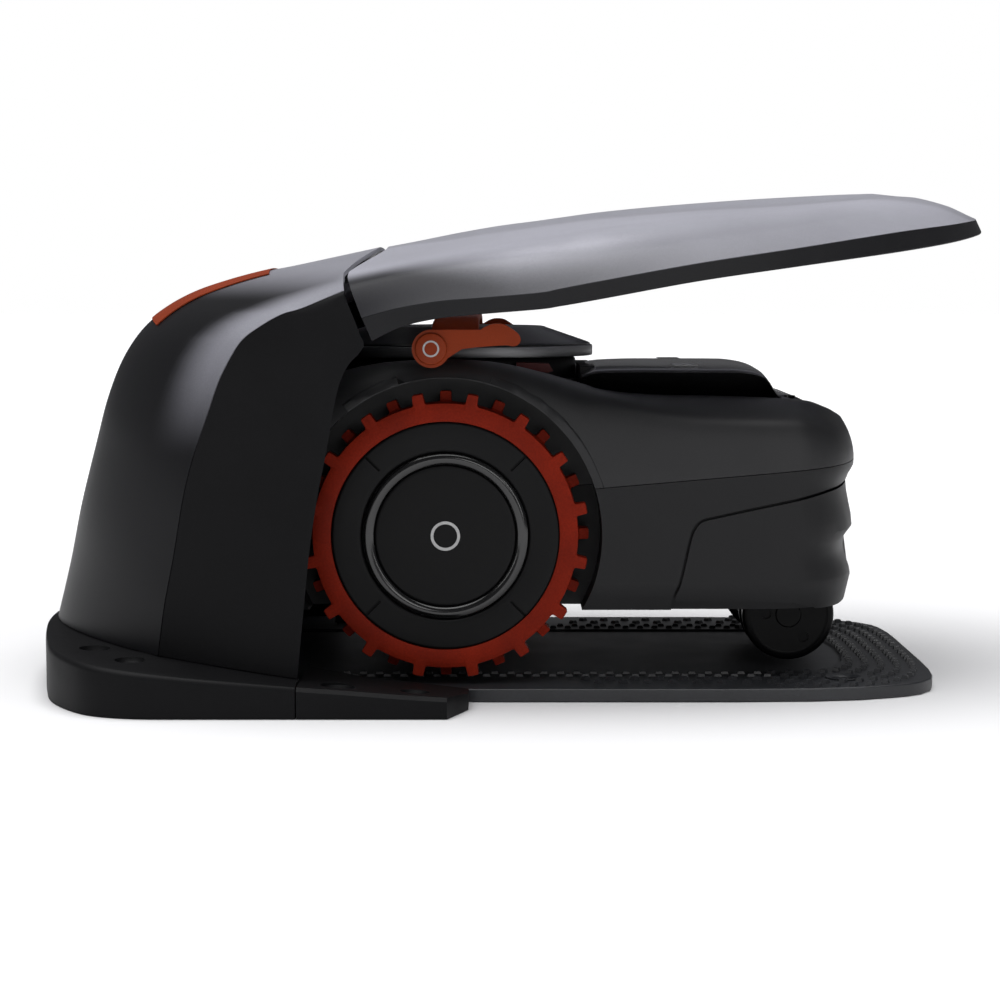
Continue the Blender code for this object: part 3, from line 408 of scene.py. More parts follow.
def spline(points, t):
    """A point of a smooth curve through the points, t from 0 to 1."""
    last = len(points) - 1
    f = min(max(t, 0.0), 1.0) * last
    k = min(int(f), last - 1)
    f -= k
    a, b, c, d = (Vector(points[min(max(k + o, 0), last)]) for o in (-1, 0, 1, 2))
    return ((b * 2) + (c - a) * f + (a * 2 - b * 5 + c * 4 - d) * f * f
            + (b * 3 - a - c * 3 + d) * f ** 3) / 2


def table(rows, x):
    """Straight interpolation in rows of (x, value)."""
    if x <= rows[0][0]:
        return rows[0][1]
    for (x0, v0), (x1, v1) in zip(rows, rows[1:]):
        if x <= x1:
            return v0 + (v1 - v0) * (x - x0) / (x1 - x0)
    return rows[-1][1]


def welded(rows):
    """A grid's points with the coinciding ones made one, and its faces."""
    verts, seen, index = [], {}, []
    for row in rows:
        line = []
        for p in row:
            key = tuple(round(c, 6) for c in p)
            if key not in seen:
                seen[key] = len(verts)
                verts.append(Vector(p))
            line.append(seen[key])
        index.append(line)
    faces = [(one[i], one[i + 1], two[i + 1], two[i])
             for one, two in zip(index, index[1:]) for i in range(len(one) - 1)]
    return verts, unrepeated(faces)


def skin(name, rows, thick, inside=(0, 0, 0.1)):
    """A grid of points given a thickness towards the inside point."""
    verts, faces = welded(rows)
    normals = [Vector() for _ in verts]
    for face in faces:
        p = [verts[i] for i in face]
        n = sum(((p[i] - p[0]).cross(p[i + 1] - p[0]) for i in range(1, len(p) - 1)), Vector())
        for i in face:
            normals[i] += n
    side = sum(n.dot(v - Vector(inside)) for n, v in zip(normals, verts))
    sign = -1 if side > 0 else 1
    count = len(verts)
    inner = [v + n.normalized() * sign * (thick(v) if callable(thick) else thick)
             for v, n in zip(verts, normals)]
    edges = {}
    for face in faces:
        for i in range(len(face)):
            a, b = face[i], face[(i + 1) % len(face)]
            edges[(a, b)] = (b, a) not in edges
            if (b, a) in edges:
                edges[(b, a)] = False
    walls = [(b, a, a + count, b + count) for (a, b), rim in edges.items() if rim]
    back = [tuple(i + count for i in reversed(face)) for face in faces]
    return solid(name, verts + inner, faces + back + walls)


# ---------------------------------------------------------------- the garage, the mat and the lid

ROOF = [
    (-.1125, .3643), (-.1493, .3565), (-.1842, .3491), (-.2104, .3439), (-.2400, .3363),
    (-.2717, .3257), (-.2980, .3118), (-.3190, .2945), (-.3365, .2690), (-.3500, .2360),
    (-.3600, .2000), (-.3745, .1450), (-.3850, .0950), (-.3975, .0450)
]
CREASE = [
    (-.1125, .2385, .3350), (-.1400, .2400, .3235), (-.1634, .2410, .3136), (-.1788, .2410, .3090),
    (-.1942, .2410, .3006), (-.2097, .2405, .2891), (-.2200, .2400, .2735), (-.2290, .2395, .2550),
    (-.2380, .2390, .2290), (-.2492, .2380, .1965), (-.2573, .2365, .1655), (-.2657, .2340, .1188),
    (-.2738, .2300, .0800), (-.2800, .2250, .0400)
]
MOUTH = [
    (-.1290, .2412, .3215), (-.1255, .2420, .3125), (-.1215, .2428, .3030), (-.1180, .2434, .2935),
    (-.1148, .2440, .2855), (-.1190, .2446, .2780), (-.1265, .2455, .2700), (-.1330, .2462, .2570),
    (-.1380, .2470, .2370), (-.1440, .2480, .2030), (-.1510, .2492, .1680), (-.1575, .2508, .1250),
    (-.1625, .2525, .0760), (-.1675, .2535, .0262)
]
SEAM = [(0, 0), (.34, 0), (.48, .016), (.64, .037), (.78, .054), (.9, .054), (1, .052)]


def garage_point(t, s):
    """The garage's skin: t runs from the lid's seam over the roof and down the back."""
    middle = spline([(x, 0, z) for x, z in ROOF], t)
    crease = spline(CREASE, t)
    blend = abs(s) ** (2.3 - .5 * t)
    p = middle.lerp(crease, blend)
    return Vector((p.x, s * crease.y, p.z))


def roof_thickness(p):
    """Full in the middle and thin at the two creases, where the side panels tuck under."""
    return table([(.205, .0032), (.221, .0010)], abs(p.y))


RIM_OUT = [
    (.2850, -.1665, .0245), (.2850, -.2400, .0305), (.2845, -.2830, .0350), (.2770, -.3130, .0380),
    (.2614, -.3353, .0400), (.2305, -.3566, .0415), (.1990, -.3705, .0425), (.1600, -.3800, .0430),
    (.1100, -.3900, .0435), (.0550, -.3980, .0438), (0, -.4010, .0440)
]


def wall_foot(k):
    """The garage wall's lower outer edge: two points of the side panel, then the shell."""
    if k < 3:
        return spline(MOUTH, 1).lerp(spline(CREASE, 1), k / 2)
    return garage_point(1, 1 - (k - 2) / 8)


MAT = [
    (.3515, 0), (.3515, .070), (.3508, .105), (.3480, .137), (.3435, .155), (.3330, .172),
    (.3205, .182), (.3040, .190), (.2800, .199), (.2400, .206), (.1800, .209), (-.0300, .209),
    (-.0445, .2055), (-.0600, .1990), (-.0905, .1885), (-.1233, .1768), (-.1665, .1618),
    (-.1700, .2150), (-.2500, .2150), (-.2850, .1950), (-.3050, .1700), (-.3350, .1250),
    (-.3600, .0700), (-.3680, 0)
]


LID_RIM_LOW = [
    (-.1087, .2440, .2880), (-.0857, .2450, .2990), (-.0560, .2450, .3057), (-.0251, .2445, .3088),
    (.0211, .2440, .3127), (.0366, .2435, .3150), (.0674, .2420, .3204), (.1445, .2330, .3343),
    (.2247, .2090, .3459), (.3073, .1650, .3580), (.3562, .1150, .3663), (.3870, .0600, .3735),
    (.4010, 0, .3780)
]
LID_RIM_TOP = [
    (-.1165, .2440, .3060), (-.0890, .2450, .3135), (-.0560, .2445, .3190), (-.0251, .2440, .3215),
    (.0211, .2430, .3255), (.0366, .2425, .3285), (.0674, .2405, .3344), (.1445, .2315, .3483),
    (.2247, .2070, .3606), (.3060, .1620, .3740), (.3540, .1120, .3810), (.3830, .0580, .3860),
    (.3960, 0, .3890)
]
LID_SHOULDER = [
    (-.1262, .2300, .3300), (-.0900, .2270, .3385), (-.0560, .2230, .3440), (-.0251, .2185, .3485),
    (.0211, .2130, .3530), (.0366, .2115, .3545), (.0674, .2090, .3570), (.1445, .1970, .3680),
    (.2200, .1710, .3785), (.2900, .1270, .3900), (.3380, .0830, .3960), (.3640, .0420, .3985),
    (.3740, 0, .3990)
]
LID_LINE_B = [
    (-.1290, .1900, .3420), (-.0900, .1900, .3497), (-.0560, .1880, .3555), (-.0251, .1850, .3600),
    (.0211, .1790, .3675), (.0366, .1770, .3695), (.0674, .1700, .3757), (.1445, .1480, .3850),
    (.2150, .1220, .3915), (.2750, .0850, .4000), (.3150, .0540, .4050), (.3400, .0270, .4065),
    (.3480, 0, .4063)
]
LID_LINE_A = [
    (-.1066, .0850, .3600), (-.0860, .0800, .3638), (-.0570, .0730, .3678), (-.0097, .0620, .3763),
    (.0211, .0570, .3810), (.0414, .0550, .3840), (.0760, .0500, .3885), (.1445, .0440, .3950),
    (.2100, .0370, .3992), (.2600, .0290, .4030), (.2950, .0210, .4065), (.3150, .0110, .4085),
    (.3200, 0, .4098)
]
LID_MIDDLE = [
    (-.1066, 0, .3651), (-.0797, 0, .3702), (-.0447, 0, .3772), (-.0097, 0, .3832),
    (.0211, 0, .3872), (.0424, 0, .3902), (.0774, 0, .3949), (.1294, 0, .4000), (.1950, 0, .4050),
    (.2450, 0, .4080), (.2800, 0, .4098), (.3000, 0, .4105), (.3100, 0, .4108)
]


def drawn_out(line):
    """The lid's nose reaches a little further forward than the tables' round numbers."""
    return [(x + .0088 * (max(x - .20, 0) / .20) ** 1.4, y, z) for x, y, z in line]


LID_RIM_LOW, LID_RIM_TOP, LID_SHOULDER, LID_LINE_B, LID_LINE_A, LID_MIDDLE = [
    drawn_out(line) for line in
    (LID_RIM_LOW, LID_RIM_TOP, LID_SHOULDER, LID_LINE_B, LID_LINE_A, LID_MIDDLE)]


def make_garage():
    """The garage's roof and back, its side panels, its seams and its orange strip."""
    rows = []
    for k in range(97):
        row = []
        for m in range(-32, 33):
            s = m / 32
            start = table(SEAM, abs(s))
            row.append(garage_point(start + (1 - start) * k / 96, s))
        rows.append(row)
    shell = skin("garage_roof_and_back", rows, roof_thickness)
    edge = sorted((z, x) for x, y, z in CREASE)

    def painted_light(p):
        """Silver on the roof, a painted highlight along the creases, and painted shade running out to
        black towards the back.
        """
        behind = table(edge, p.z) - p.x
        near = (1 - ramped(behind, .010, .050)) * ramped(p.z, .195, .310)
        roof = ramped(p.z, .318, .350)
        return .01 + .62 * max(near, roof)
    toned(shell, painted_light)
    finished(shell, "station", SILVER, "garage_shell", 50)
    for side, tag in SIDES:
        rows = []
        for k in range(97):
            t = .053 + .947 * k / 96
            crease, front = spline(CREASE, t), spline(MOUTH, k / 96)
            row = []
            for m in range(13):
                tuck = min(.0009 / (front - crease).length, .3)
                p = crease.lerp(front, tuck + (1 - tuck) * m / 12)
                p.y += .0022 * sin(pi * m / 12)
                row.append(Vector((p.x, side * p.y, p.z)))
            for back, y in ((.0006, .0020), (.003, .012), (.004, .030)):
                row.append(Vector((front.x - back, side * (front.y - y), front.z)))
            rows.append(row)
        panel = skin("garage_side_" + tag, rows, .0028, (-.3, 0, .1))
        finished(panel, "station", CHARCOAL, "side_panel_" + tag, 45)
    rows = []
    for k in range(29):
        t = .215 + .285 * k / 28
        rows.append([garage_point(t, m * .0525) + Vector((-.0009, 0, .0013))
                     for m in range(-8, 9)])
    strip = skin("roof_accent", rows, .0009)
    finished(strip, "station", ORANGE, "accent_strip", 40)


SKIRT_HALF, SKIRT_FRONT = .2850, -.1668  # the skirt's smooth curve may not pass either


def make_skirt():
    half = [(Vector((x, y, z)), wall_foot(k)) for k, (y, x, z) in enumerate(RIM_OUT)]
    half[0][1].x = -.1675
    path = [(Vector((o.x, -o.y, o.z)), Vector((w.x, -w.y, w.z))) for o, w in half]
    path += list(reversed(half[:-1]))
    outers, walls = [p[0] for p in path], [p[1] for p in path]
    count = 120
    dense = [(spline(outers, k / count), spline(walls, k / count)) for k in range(count + 1)]
    rings = []
    for k, (outer, wall) in enumerate(dense):
        before, after = dense[max(k - 1, 0)][1], dense[min(k + 1, count)][1]
        along = Vector((after.x - before.x, after.y - before.y, 0)).normalized()
        out = Vector((-along.y, along.x, 0))
        if out.dot(Vector((wall.x + .15, wall.y, 0))) < 0:
            out = -out
        top = wall.z - .0008
        near, far = wall + out * .0012, wall - out * .0085
        low = min(outer.z, top)
        flat = Vector((near.x - outer.x, near.y - outer.y, 0))
        ring = [(outer.x, outer.y, 0), (outer.x, outer.y, low * .5)]
        for a in range(0, 91, 18):
            lean = (1 - cos(radians(a))) * .075
            ring.append((outer.x + flat.x * lean, outer.y + flat.y * lean,
                         low - .0050 * (1 - sin(radians(a)))))
        for f in (.3, .55, .8, .93, 1):
            rise = f * f
            ring.append((outer.x + flat.x * f, outer.y + flat.y * f, low + (top - low) * rise))
        ring += [(far.x, far.y, top), (far.x, far.y, 0)]
        rings.append([(min(x, SKIRT_FRONT), min(max(y, -SKIRT_HALF), SKIRT_HALF), z)
                      for x, y, z in ring])
    skirt = loft("garage_foot_rim", rings)
    cup = [(0, -.05), (.0042, -.05), (.0042, 0), (.0100, 0), (.0112, .0012), (.0128, .0066),
           (.0150, .0090), (.0150, .016), (0, .016)]
    carve(skirt, [turned("cup", cup, (x, side * y, .0350), steps=40)
                  for side in (1, -1) for x, y in ((-.335, .192), (-.300, .237))])
    finished(skirt, "station", CHARCOAL, "skirt", 42)


def make_foot(side, tag):
    """The garage's front foot, with its two stepped screw cups."""
    sections = [(-.1658, .1640, .2850, .0225, .0243), (-.1233, .1790, .2850, .0170, .0213),
                (-.0905, .1905, .2850, .0150, .0187), (-.0600, .2020, .2850, .0135, .0168),
                (-.0503, .2068, .2850, .0130, .0163), (-.0420, .2095, .2630, .0125, .0145),
                (-.0345, .2110, .2430, .0118, .0125)]
    rings = []
    for x, near, far, low, high in sections:
        rings.append([(x, side * near, .0005), (x, side * near, low - .002),
                      (x, side * (near + .003), low), (x, side * (far - .003), high),
                      (x, side * far, high - .003), (x, side * far, 0)])
    foot = loft("garage_front_foot_" + tag, rings)
    cup = [(0, -.03), (.0042, -.03), (.0042, 0), (.0092, 0), (.0102, .0012), (.0118, .0045),
           (.0136, .0075), (.0136, .014), (0, .014)]
    carve(foot, [turned("cup", cup, (x, side * y, .0125), steps=40)
                 for x, y in ((-.1355, .2585), (-.0755, .2560))])
    finished(foot, "station", CHARCOAL, "dock_foot_" + tag, 30, .0012, 3)


MAT_TOP = .0106
HOLE_X, HOLE_Y = .272, .154  # the mat's two screw holes
ROWS_END = .215  # where the straight rows of studs end and the fanned ones start


def stud(verts, faces, x, y, turn, long, wide, high):
    """A small raised stud with sloping sides, standing on the mat."""
    first = len(verts)
    for grow, up in ((1.0, -.0006), (.72, high - .0004), (.5, high)):
        for u, v in ((-1, -1), (1, -1), (1, 1), (-1, 1)):
            a, b = u * long * grow / 2, v * wide * grow / 2
            verts.append(Vector((x + a * cos(turn) - b * sin(turn),
                                 y + a * sin(turn) + b * cos(turn), MAT_TOP + up)))
    faces += quads(4, [(0, 1), (1, 2)], first)
    faces += [tuple(range(first + 8, first + 12)), (first + 3, first + 2, first + 1, first)]


def mat_edge(x):
    """How far out the mat reaches at this X on the front part."""
    return curve([(-.05, .204), (.18, .209), (.24, .206), (.280, .199), (.304, .190),
                  (.3205, .182), (.333, .172), (.3435, .155), (.3480, .137), (.3508, .105),
                  (.3515, .07)], x)


def make_base():
    """The ground mat: its recessed bed, its rows of studs and its two screw holes."""
    outline = MAT + [(x, -y) for x, y in reversed(MAT[1:-1])]
    base = prism("ground_mat", outline, 0, MAT_TOP)
    bed = [(-.20, .124), (.222, .124), (.250, .116), (.270, .095), (.283, .062), (.288, .024)]
    holes = [cylinder("hole", (HOLE_X, side * HOLE_Y, -.01), .0100, .05) for side in (1, -1)]
    carve(base, [prism("bed", mirrored(bed), .0082, .05), *holes])
    finished(base, "station", MAT_GREY, "base_plate", 30, .0016, 3)
    # A thin sheet of the paler plastic laid on the bed: painted light where the mower's shadow falls.
    floor = [(-.198, .122), (.221, .122), (.249, .114), (.2685, .0938), (.281, .061), (.286, .024)]
    finished(prism("mat_bed_painted_light", mirrored(floor), .0080, .0086), "station", BED_PAINTED_LIGHT, None, 30, .0002)
    verts, faces = [], []
    straight = [(-.150, .0136, .1330, .0130, 0, .0066, .0044, .0024),
                (.060, .0200, .1640, .0170, pi / 4, .0062, .0062, .0030)]
    for side in (1, -1):
        for start, pitch, y, apart, turn, *size in straight:
            for row in range(2):
                x = start + pitch / 2 * row
                while x < ROWS_END:
                    stud(verts, faces, x, side * (y + apart * row), turn, *size)
                    x += pitch
        fanned(verts, faces, side)
    studs = solid("mat_studs", verts, faces)
    finished(studs, "station", MAT_GREY, None, 30)
    seat = [(.0100, .0086), (.0145, .0104), (.0152, .0116), (.0146, .0120), (.0122, .0112),
            (.0102, .0096)]
    for side, tag in SIDES:
        washer = turned("mat_screw_seat_" + tag, seat, (HOLE_X, side * HOLE_Y, 0), steps=48)
        finished(washer, "station", MAT_GREY, None, 30)


def fanned(verts, faces, side):
    """The rings of studs that run round the mat's front corner."""
    for ring in range(5):
        walked, last = (.0085 if ring % 2 else 0.0), None
        for k in range(361):
            a = radians(k / 4)
            p = Vector((ROWS_END + (.0760 + .0125 * ring) * sin(a) ** .62,
                        (.1330 + .0160 * ring) * max(cos(a), 0.0) ** .50, 0))
            if last is not None:
                walked -= (p - last).length
            last = p
            if walked > 0:
                continue
            walked += .0150
            near_hole = (p.x - HOLE_X) ** 2 + (p.y - HOLE_Y) ** 2 < .0185 ** 2
            if p.x > .3450 or p.y > mat_edge(p.x) - .007 or near_hole or (p.y < .004 and side < 0):
                continue
            stud(verts, faces, p.x, side * p.y, pi / 4 - side * a * .5, .0060, .0060, .0032)


def make_dock():
    """The charging tower, the contact head and its pads, the lid's hinge pieces and the charger
    board.
    """
    for node in ("charging_tower", "contact_head"):
        kept(node, SOFT_BLACK, .0015)
    for tag in ("l", "r"):
        kept("contact_pad_" + tag, BRASS, .0006)
        kept("hinge_bracket_" + tag, SOFT_BLACK, .0008)
        kept("hinge_pin_" + tag, STEEL, .0003)
        kept("hinge_arm_" + tag, SOFT_BLACK, .0008)
    kept("charger_board", BOARD, .0002)


def lid_section(t, across):
    """One row of the lid's skin from its right edge to its left."""
    points = [spline(line, t)
              for line in (LID_RIM_TOP, LID_SHOULDER, LID_LINE_B, LID_LINE_A, LID_MIDDLE)]
    mirror = [Vector((p.x, -p.y, p.z)) for p in reversed(points[:-1])]
    whole = points + mirror
    count = len(whole) - 1
    row = []
    for i in range(across * count + 1):
        f = i / across
        k = min(int(f), count - 1)
        straight = whole[k].lerp(whole[k + 1], f - k)
        bent = spline(whole, f / count)
        p = straight.lerp(bent, .62)
        if i in (0, across * count):
            p = straight
        row.append(Vector((p.x, -p.y if t < 1 else 0.0, p.z)))
    return row


def make_lid():
    rows = [lid_section(k / 96, 7) for k in range(97)]
    edge = {tuple(round(c, 5) for c in row[k]) for row in rows for k in (0, -1)}

    def thickness(p):
        return .0007 if tuple(round(c, 5) for c in p) in edge else .0030
    lid = skin("lid_top", rows, thickness, (.1, 0, .25))

    def painted_light(p):
        """Silver on top, with painted shade darkening it down the sides and almost to black by the
        hinge.
        """
        out = abs(p.y) / table([(x, max(y, .001)) for x, y, z in LID_RIM_TOP], p.x)
        start = table([(-.10, .80), (.00, .72), (.12, .55), (.30, .40)], p.x)
        end = table([(-.10, .92), (.00, 1.0)], p.x)
        least = table([(-.12, .04), (-.02, .07), (.05, .14), (.15, .33), (.25, .45), (.36, .75)],
                      p.x)
        middle = 1 - .28 * ramped(.075 - abs(p.y), 0, .02)
        return .95 * middle * (1 - (1 - least) * ramped(out, start, end))
    toned(lid, painted_light)
    finished(lid, "lid", SILVER, "lid_shell", 50)
    ends = []
    for k in range(97):
        low, high = spline(LID_RIM_LOW, k / 96), spline(LID_RIM_TOP, k / 96)
        high = low.lerp(high, .985)
        if k == 96:
            low.y = high.y = 0
        ends.append([low, low.lerp(high, .35), low.lerp(high, .7), high])
    path = [[Vector((p.x, -p.y, p.z)) for p in row] for row in ends]
    path += [list(row) for row in reversed(ends[:-1])]
    rim = skin("lid_edge_band", path, .0036, (.1, 0, .35))
    finished(rim, "lid", RIM_GREY, "lid_rim", 50, .0006)


# ---------------------------------------------------------------- the mower

SHOULDER = [
    (-.225, .215), (-.20, .225), (-.15, .2415), (-.12, .2545), (-.09, .2625), (-.054, .2665),
    (-.02, .2645), (0, .2605), (.0247, .2535), (.04, .2485), (.0567, .2435), (.0728, .2405),
    (.09, .2375), (.103, .2354), (.135, .2306), (.167, .2288), (.2317, .2266), (.25, .2235),
    (.265, .2200), (.275, .2170), (.283, .2135), (.290, .2090)
]
RIDGE = [
    (-.225, .227), (-.20, .240), (-.15, .2580), (-.12, .2660), (-.09, .2700), (-.054, .2712),
    (-.02, .2695), (0, .2665), (.0247, .2607), (.04, .2565), (.0567, .2517), (.0728, .2465),
    (.103, .2430), (.135, .2415), (.167, .2408), (.2317, .2385), (.25, .2365), (.265, .2320),
    (.275, .2285), (.283, .2245), (.290, .2190)
]
DECK_BED = [
    (-.225, .224), (-.20, .237), (-.15, .2540), (-.09, .2600), (-.054, .2600), (0, .2580),
    (.0247, .2550), (.04, .2525), (.0567, .2485), (.0728, .2437), (.103, .2400), (.135, .2385),
    (.167, .2380), (.2317, .2355), (.25, .2335), (.265, .2290), (.275, .2255), (.283, .2215),
    (.290, .2160)
]
BREADTH = [
    (-.225, .42), (-.222, .60), (-.215, .78), (-.20, .92), (-.18, .985), (-.15, 1), (.20, 1),
    (.2317, .985), (.25, .945), (.265, .87), (.275, .77), (.283, .62), (.288, .46), (.290, .32)
]
NOSE = [
    (.070, -.006), (.0805, -.004), (.0906, -.002), (.1016, -.005), (.1143, -.0085),
    (.1227, -.0078), (.132, -.001), (.1606, -.006), (.169, -.0068), (.1850, 0), (.190, 0),
    (.2092, -.004), (.2259, -.011)
]
HALF, FLOOR = .187, .0700  # the mower's half width and the height of its underside
WHEEL, TYRE_Y = (-.0535, .1310), .170
ARCH, ARCH_LINING = (.1258, .1420), (.1290, .1385)  # each a radius and how far in it starts
AXLE, CASTER_Y = (.2330, .0553), .080
MOTOR_X = -.050
TURRET_X = -.0490
PIVOT, BOSS = (-.0646, .2808), .0152  # the handle's pivot and its bosses' radius


SEAM_GAP = .0003


def seam_z(x):
    """The height of the split line between the mower's upper and lower casing."""
    return .1690 + .0864 * (x - .068)


BUMPER_LINE = [
    (.1280, .0500), (.1290, .0780), (.1345, .0950), (.1420, .1280), (.1455, .1375), (.1520, .1440),
    (.1660, .1475), (.1980, .1545), (.2300, .1610), (.2540, .1665), (.3300, .1800), (.3300, .0500)
]
SMALLER = [
    (.1302, .0480), (.1312, .0778), (.1367, .0946), (.1441, .1272), (.1473, .1357), (.1528, .1419),
    (.1664, .1453), (.1984, .1523), (.2304, .1588), (.2544, .1643), (.3320, .1778), (.3320, .0480)
]


def arm_outline():
    """The side view of an arm: the round boss, the bar and the hooked tip."""
    x, z = PIVOT
    boss = [(x + BOSS * cos(radians(a)), z + BOSS * sin(radians(a))) for a in range(95, 331, 19)]
    return boss + [(-.0470, .2795), (-.0300, .2818), (-.0060, .2836), (.0000, .2828),
                   (.0040, .2836), (.0068, .2872), (.0050, .2925), (-.0010, .2972),
                   (-.0070, .3003), (-.0150, .3006), (-.0210, .2985), (-.0250, .2960),
                   (-.0540, .2960)]


def side_section(x, inset, floor):
    """The half outline (Y, Z) of the body at one place, from the floor to the deck's bed."""
    wide = HALF * curve(BREADTH, x)
    high, ridge, bed = curve(SHOULDER, x), curve(RIDGE, x), curve(DECK_BED, x)
    side = [(.955, floor), (1, .0906), (1, .1143), (1, .132), (1.003, .169), (1.005, .1870),
            (.992, .192 + .6 * (high - .192) - inset * .4), (.938, high - inset * .7),
            (.775, ridge - inset), (.665, bed - inset)]
    return [Vector((max(wide * f - inset, .002), z, 0)) for f, z in side]


def body_ring(x, inset, floor):
    """One fine cross-section of the mower's body, drawn in by the inset."""
    ends = (x + .225) / .515
    shift = x + inset * (1 - 2 * ends)
    front = min(max((shift - .20) / .08, 0), 1)
    points = side_section(x, inset, floor)
    dense = [points[0], points[0].lerp(points[1], .5)]
    for k in range(1, len(points) - 1):
        for i in range(4):
            dense.append(spline(points[1:], (k - 1 + i / 4) / (len(points) - 2)))
    dense.append(points[-1])
    dense.append(Vector((points[-1].x * .5, points[-1].y, 0)))
    ring = []
    for p in dense:
        ring.append((shift + front * curve(NOSE, p.y), max(p.x, .002), p.y))
    return ringed(ring)


FINE_STATIONS = [-.225, -.2238, -.222, -.219, -.215, -.210, -.205]
FINE_STATIONS += [-.20 + .01 * k for k in range(43)]
FINE_STATIONS += [.2317, .237, .243, .25, .2550, .260, .265, .270, .275, .279, .283, .2858, .288,
                  .2893, .290]


def body_form(name, inset, floor):
    return loft(name, [body_ring(x, inset, floor) for x in FINE_STATIONS])


def arches(radius, near):
    """Cutters for the two wheel arches, from this far out."""
    return [cylinder("arch", (WHEEL[0], y, WHEEL[1]), radius, .30 - near, "y", 120)
            for y in (near, -.30)]


def past_seam(end):
    """All that is above the split line, up to end = .5, or below it, down to end = -.1."""
    gap = SEAM_GAP if end > 0 else -SEAM_GAP
    line = [(-.30, seam_z(-.30) + gap), (.40, seam_z(.40) + gap)]
    if end > 0:
        return across("above", [*line, (.40, end), (-.30, end)])
    return across("below", [(-.30, end), (.40, end), *reversed(line)])


def smooth_line(points, extra):
    """The bumper's outline with its top run through smoothly; the last two points stay square."""
    bend = [Vector((x, z, 0)) for x, z in points[:-extra]]
    fine = [spline(bend, k / 48) for k in range(49)]
    return [(p.x, p.y) for p in fine] + points[-extra:]


def make_casings():
    """The upper cover, the lower shell and the bumper, with the gaps between them."""
    room = body_form("room", .0075, .0790)
    carve(room, arches(*ARCH_LINING))
    shell = body_form("lower_casing", 0, FLOOR)
    carve(shell, [across("region", smooth_line(BUMPER_LINE, 3))])
    carve(shell, [body_form("core", .0058, FLOOR)], "UNION")
    cutters = [room, *arches(*ARCH), box("under", (-.206, .262), (-.130, .130), (.0, .0742))]
    for side in (1, -1):
        cutters.append(cylinder("caster_well", (.205, side * CASTER_Y, .0), .0700, .0990))
        cutters += [
            cylinder("axle_way", (WHEEL[0], side * .14 - .02, WHEEL[1]), .0085, .04, "y"),
            box("plate_way", (-.30, -.19), (side * .0145, side * .0295), (.1040, .1260))]
    cutters.append(cylinder("blade_way", (MOTOR_X, 0, .0), .0345, .0990))
    carve(shell, cutters)
    carve(shell, [past_seam(-.1)], "INTERSECT")
    finished(shell, "mower", MOWER_GREY, "lower_shell", 32, .0007)
    hollow = body_form("hollow", .0033, .0400)
    carve(hollow, arches(*ARCH_LINING))
    cover = body_form("upper_casing", 0, FLOOR)
    carve(cover, [hollow, *arches(*ARCH)])
    carve(cover, [past_seam(.5)], "INTERSECT")
    finished(cover, "mower", COVER_GREY, "upper_cover", 32, .0007)
    bumper = body_form("front_bumper", 0, FLOOR)
    carve(bumper, [body_form("open_core", .0032, .0400)])
    carve(bumper, [across("front", smooth_line(SMALLER, 2))], "INTERSECT")
    finished(bumper, "bumper", MOWER_GREY, "bumper", 32, .0009, 3)


def cover_y(x, z):
    """How far out the body's side is at this place."""
    points = side_section(x, 0, FLOOR)
    fine = [spline(points[1:], k / 60) for k in range(61)]
    return max((p for p in fine), key=lambda p: -abs(p.y - z)).x


def make_fender_band(side, tag):
    """The narrow raised band of the upper cover round the wheel arch."""
    rings = []
    for k in range(61):
        a = radians(-38 + 156 * k / 60)
        ring = []
        for r, out in ((.1259, -.0020), (.1259, .0006), (.1268, .0012), (.1322, .0012),
                       (.1340, -.0004), (.1340, -.0020)):
            x, z = WHEEL[0] + r * sin(a), WHEEL[1] + r * cos(a)
            ring.append(Vector((x, side * (min(cover_y(x, min(z, .262)), .1872) + out), z)))
        rings.append(ring)
    band = loft("arch_band_" + tag, rings)
    carve(band, [past_seam(.5)], "INTERSECT")
    finished(band, "mower", COVER_GREY, None, 35)


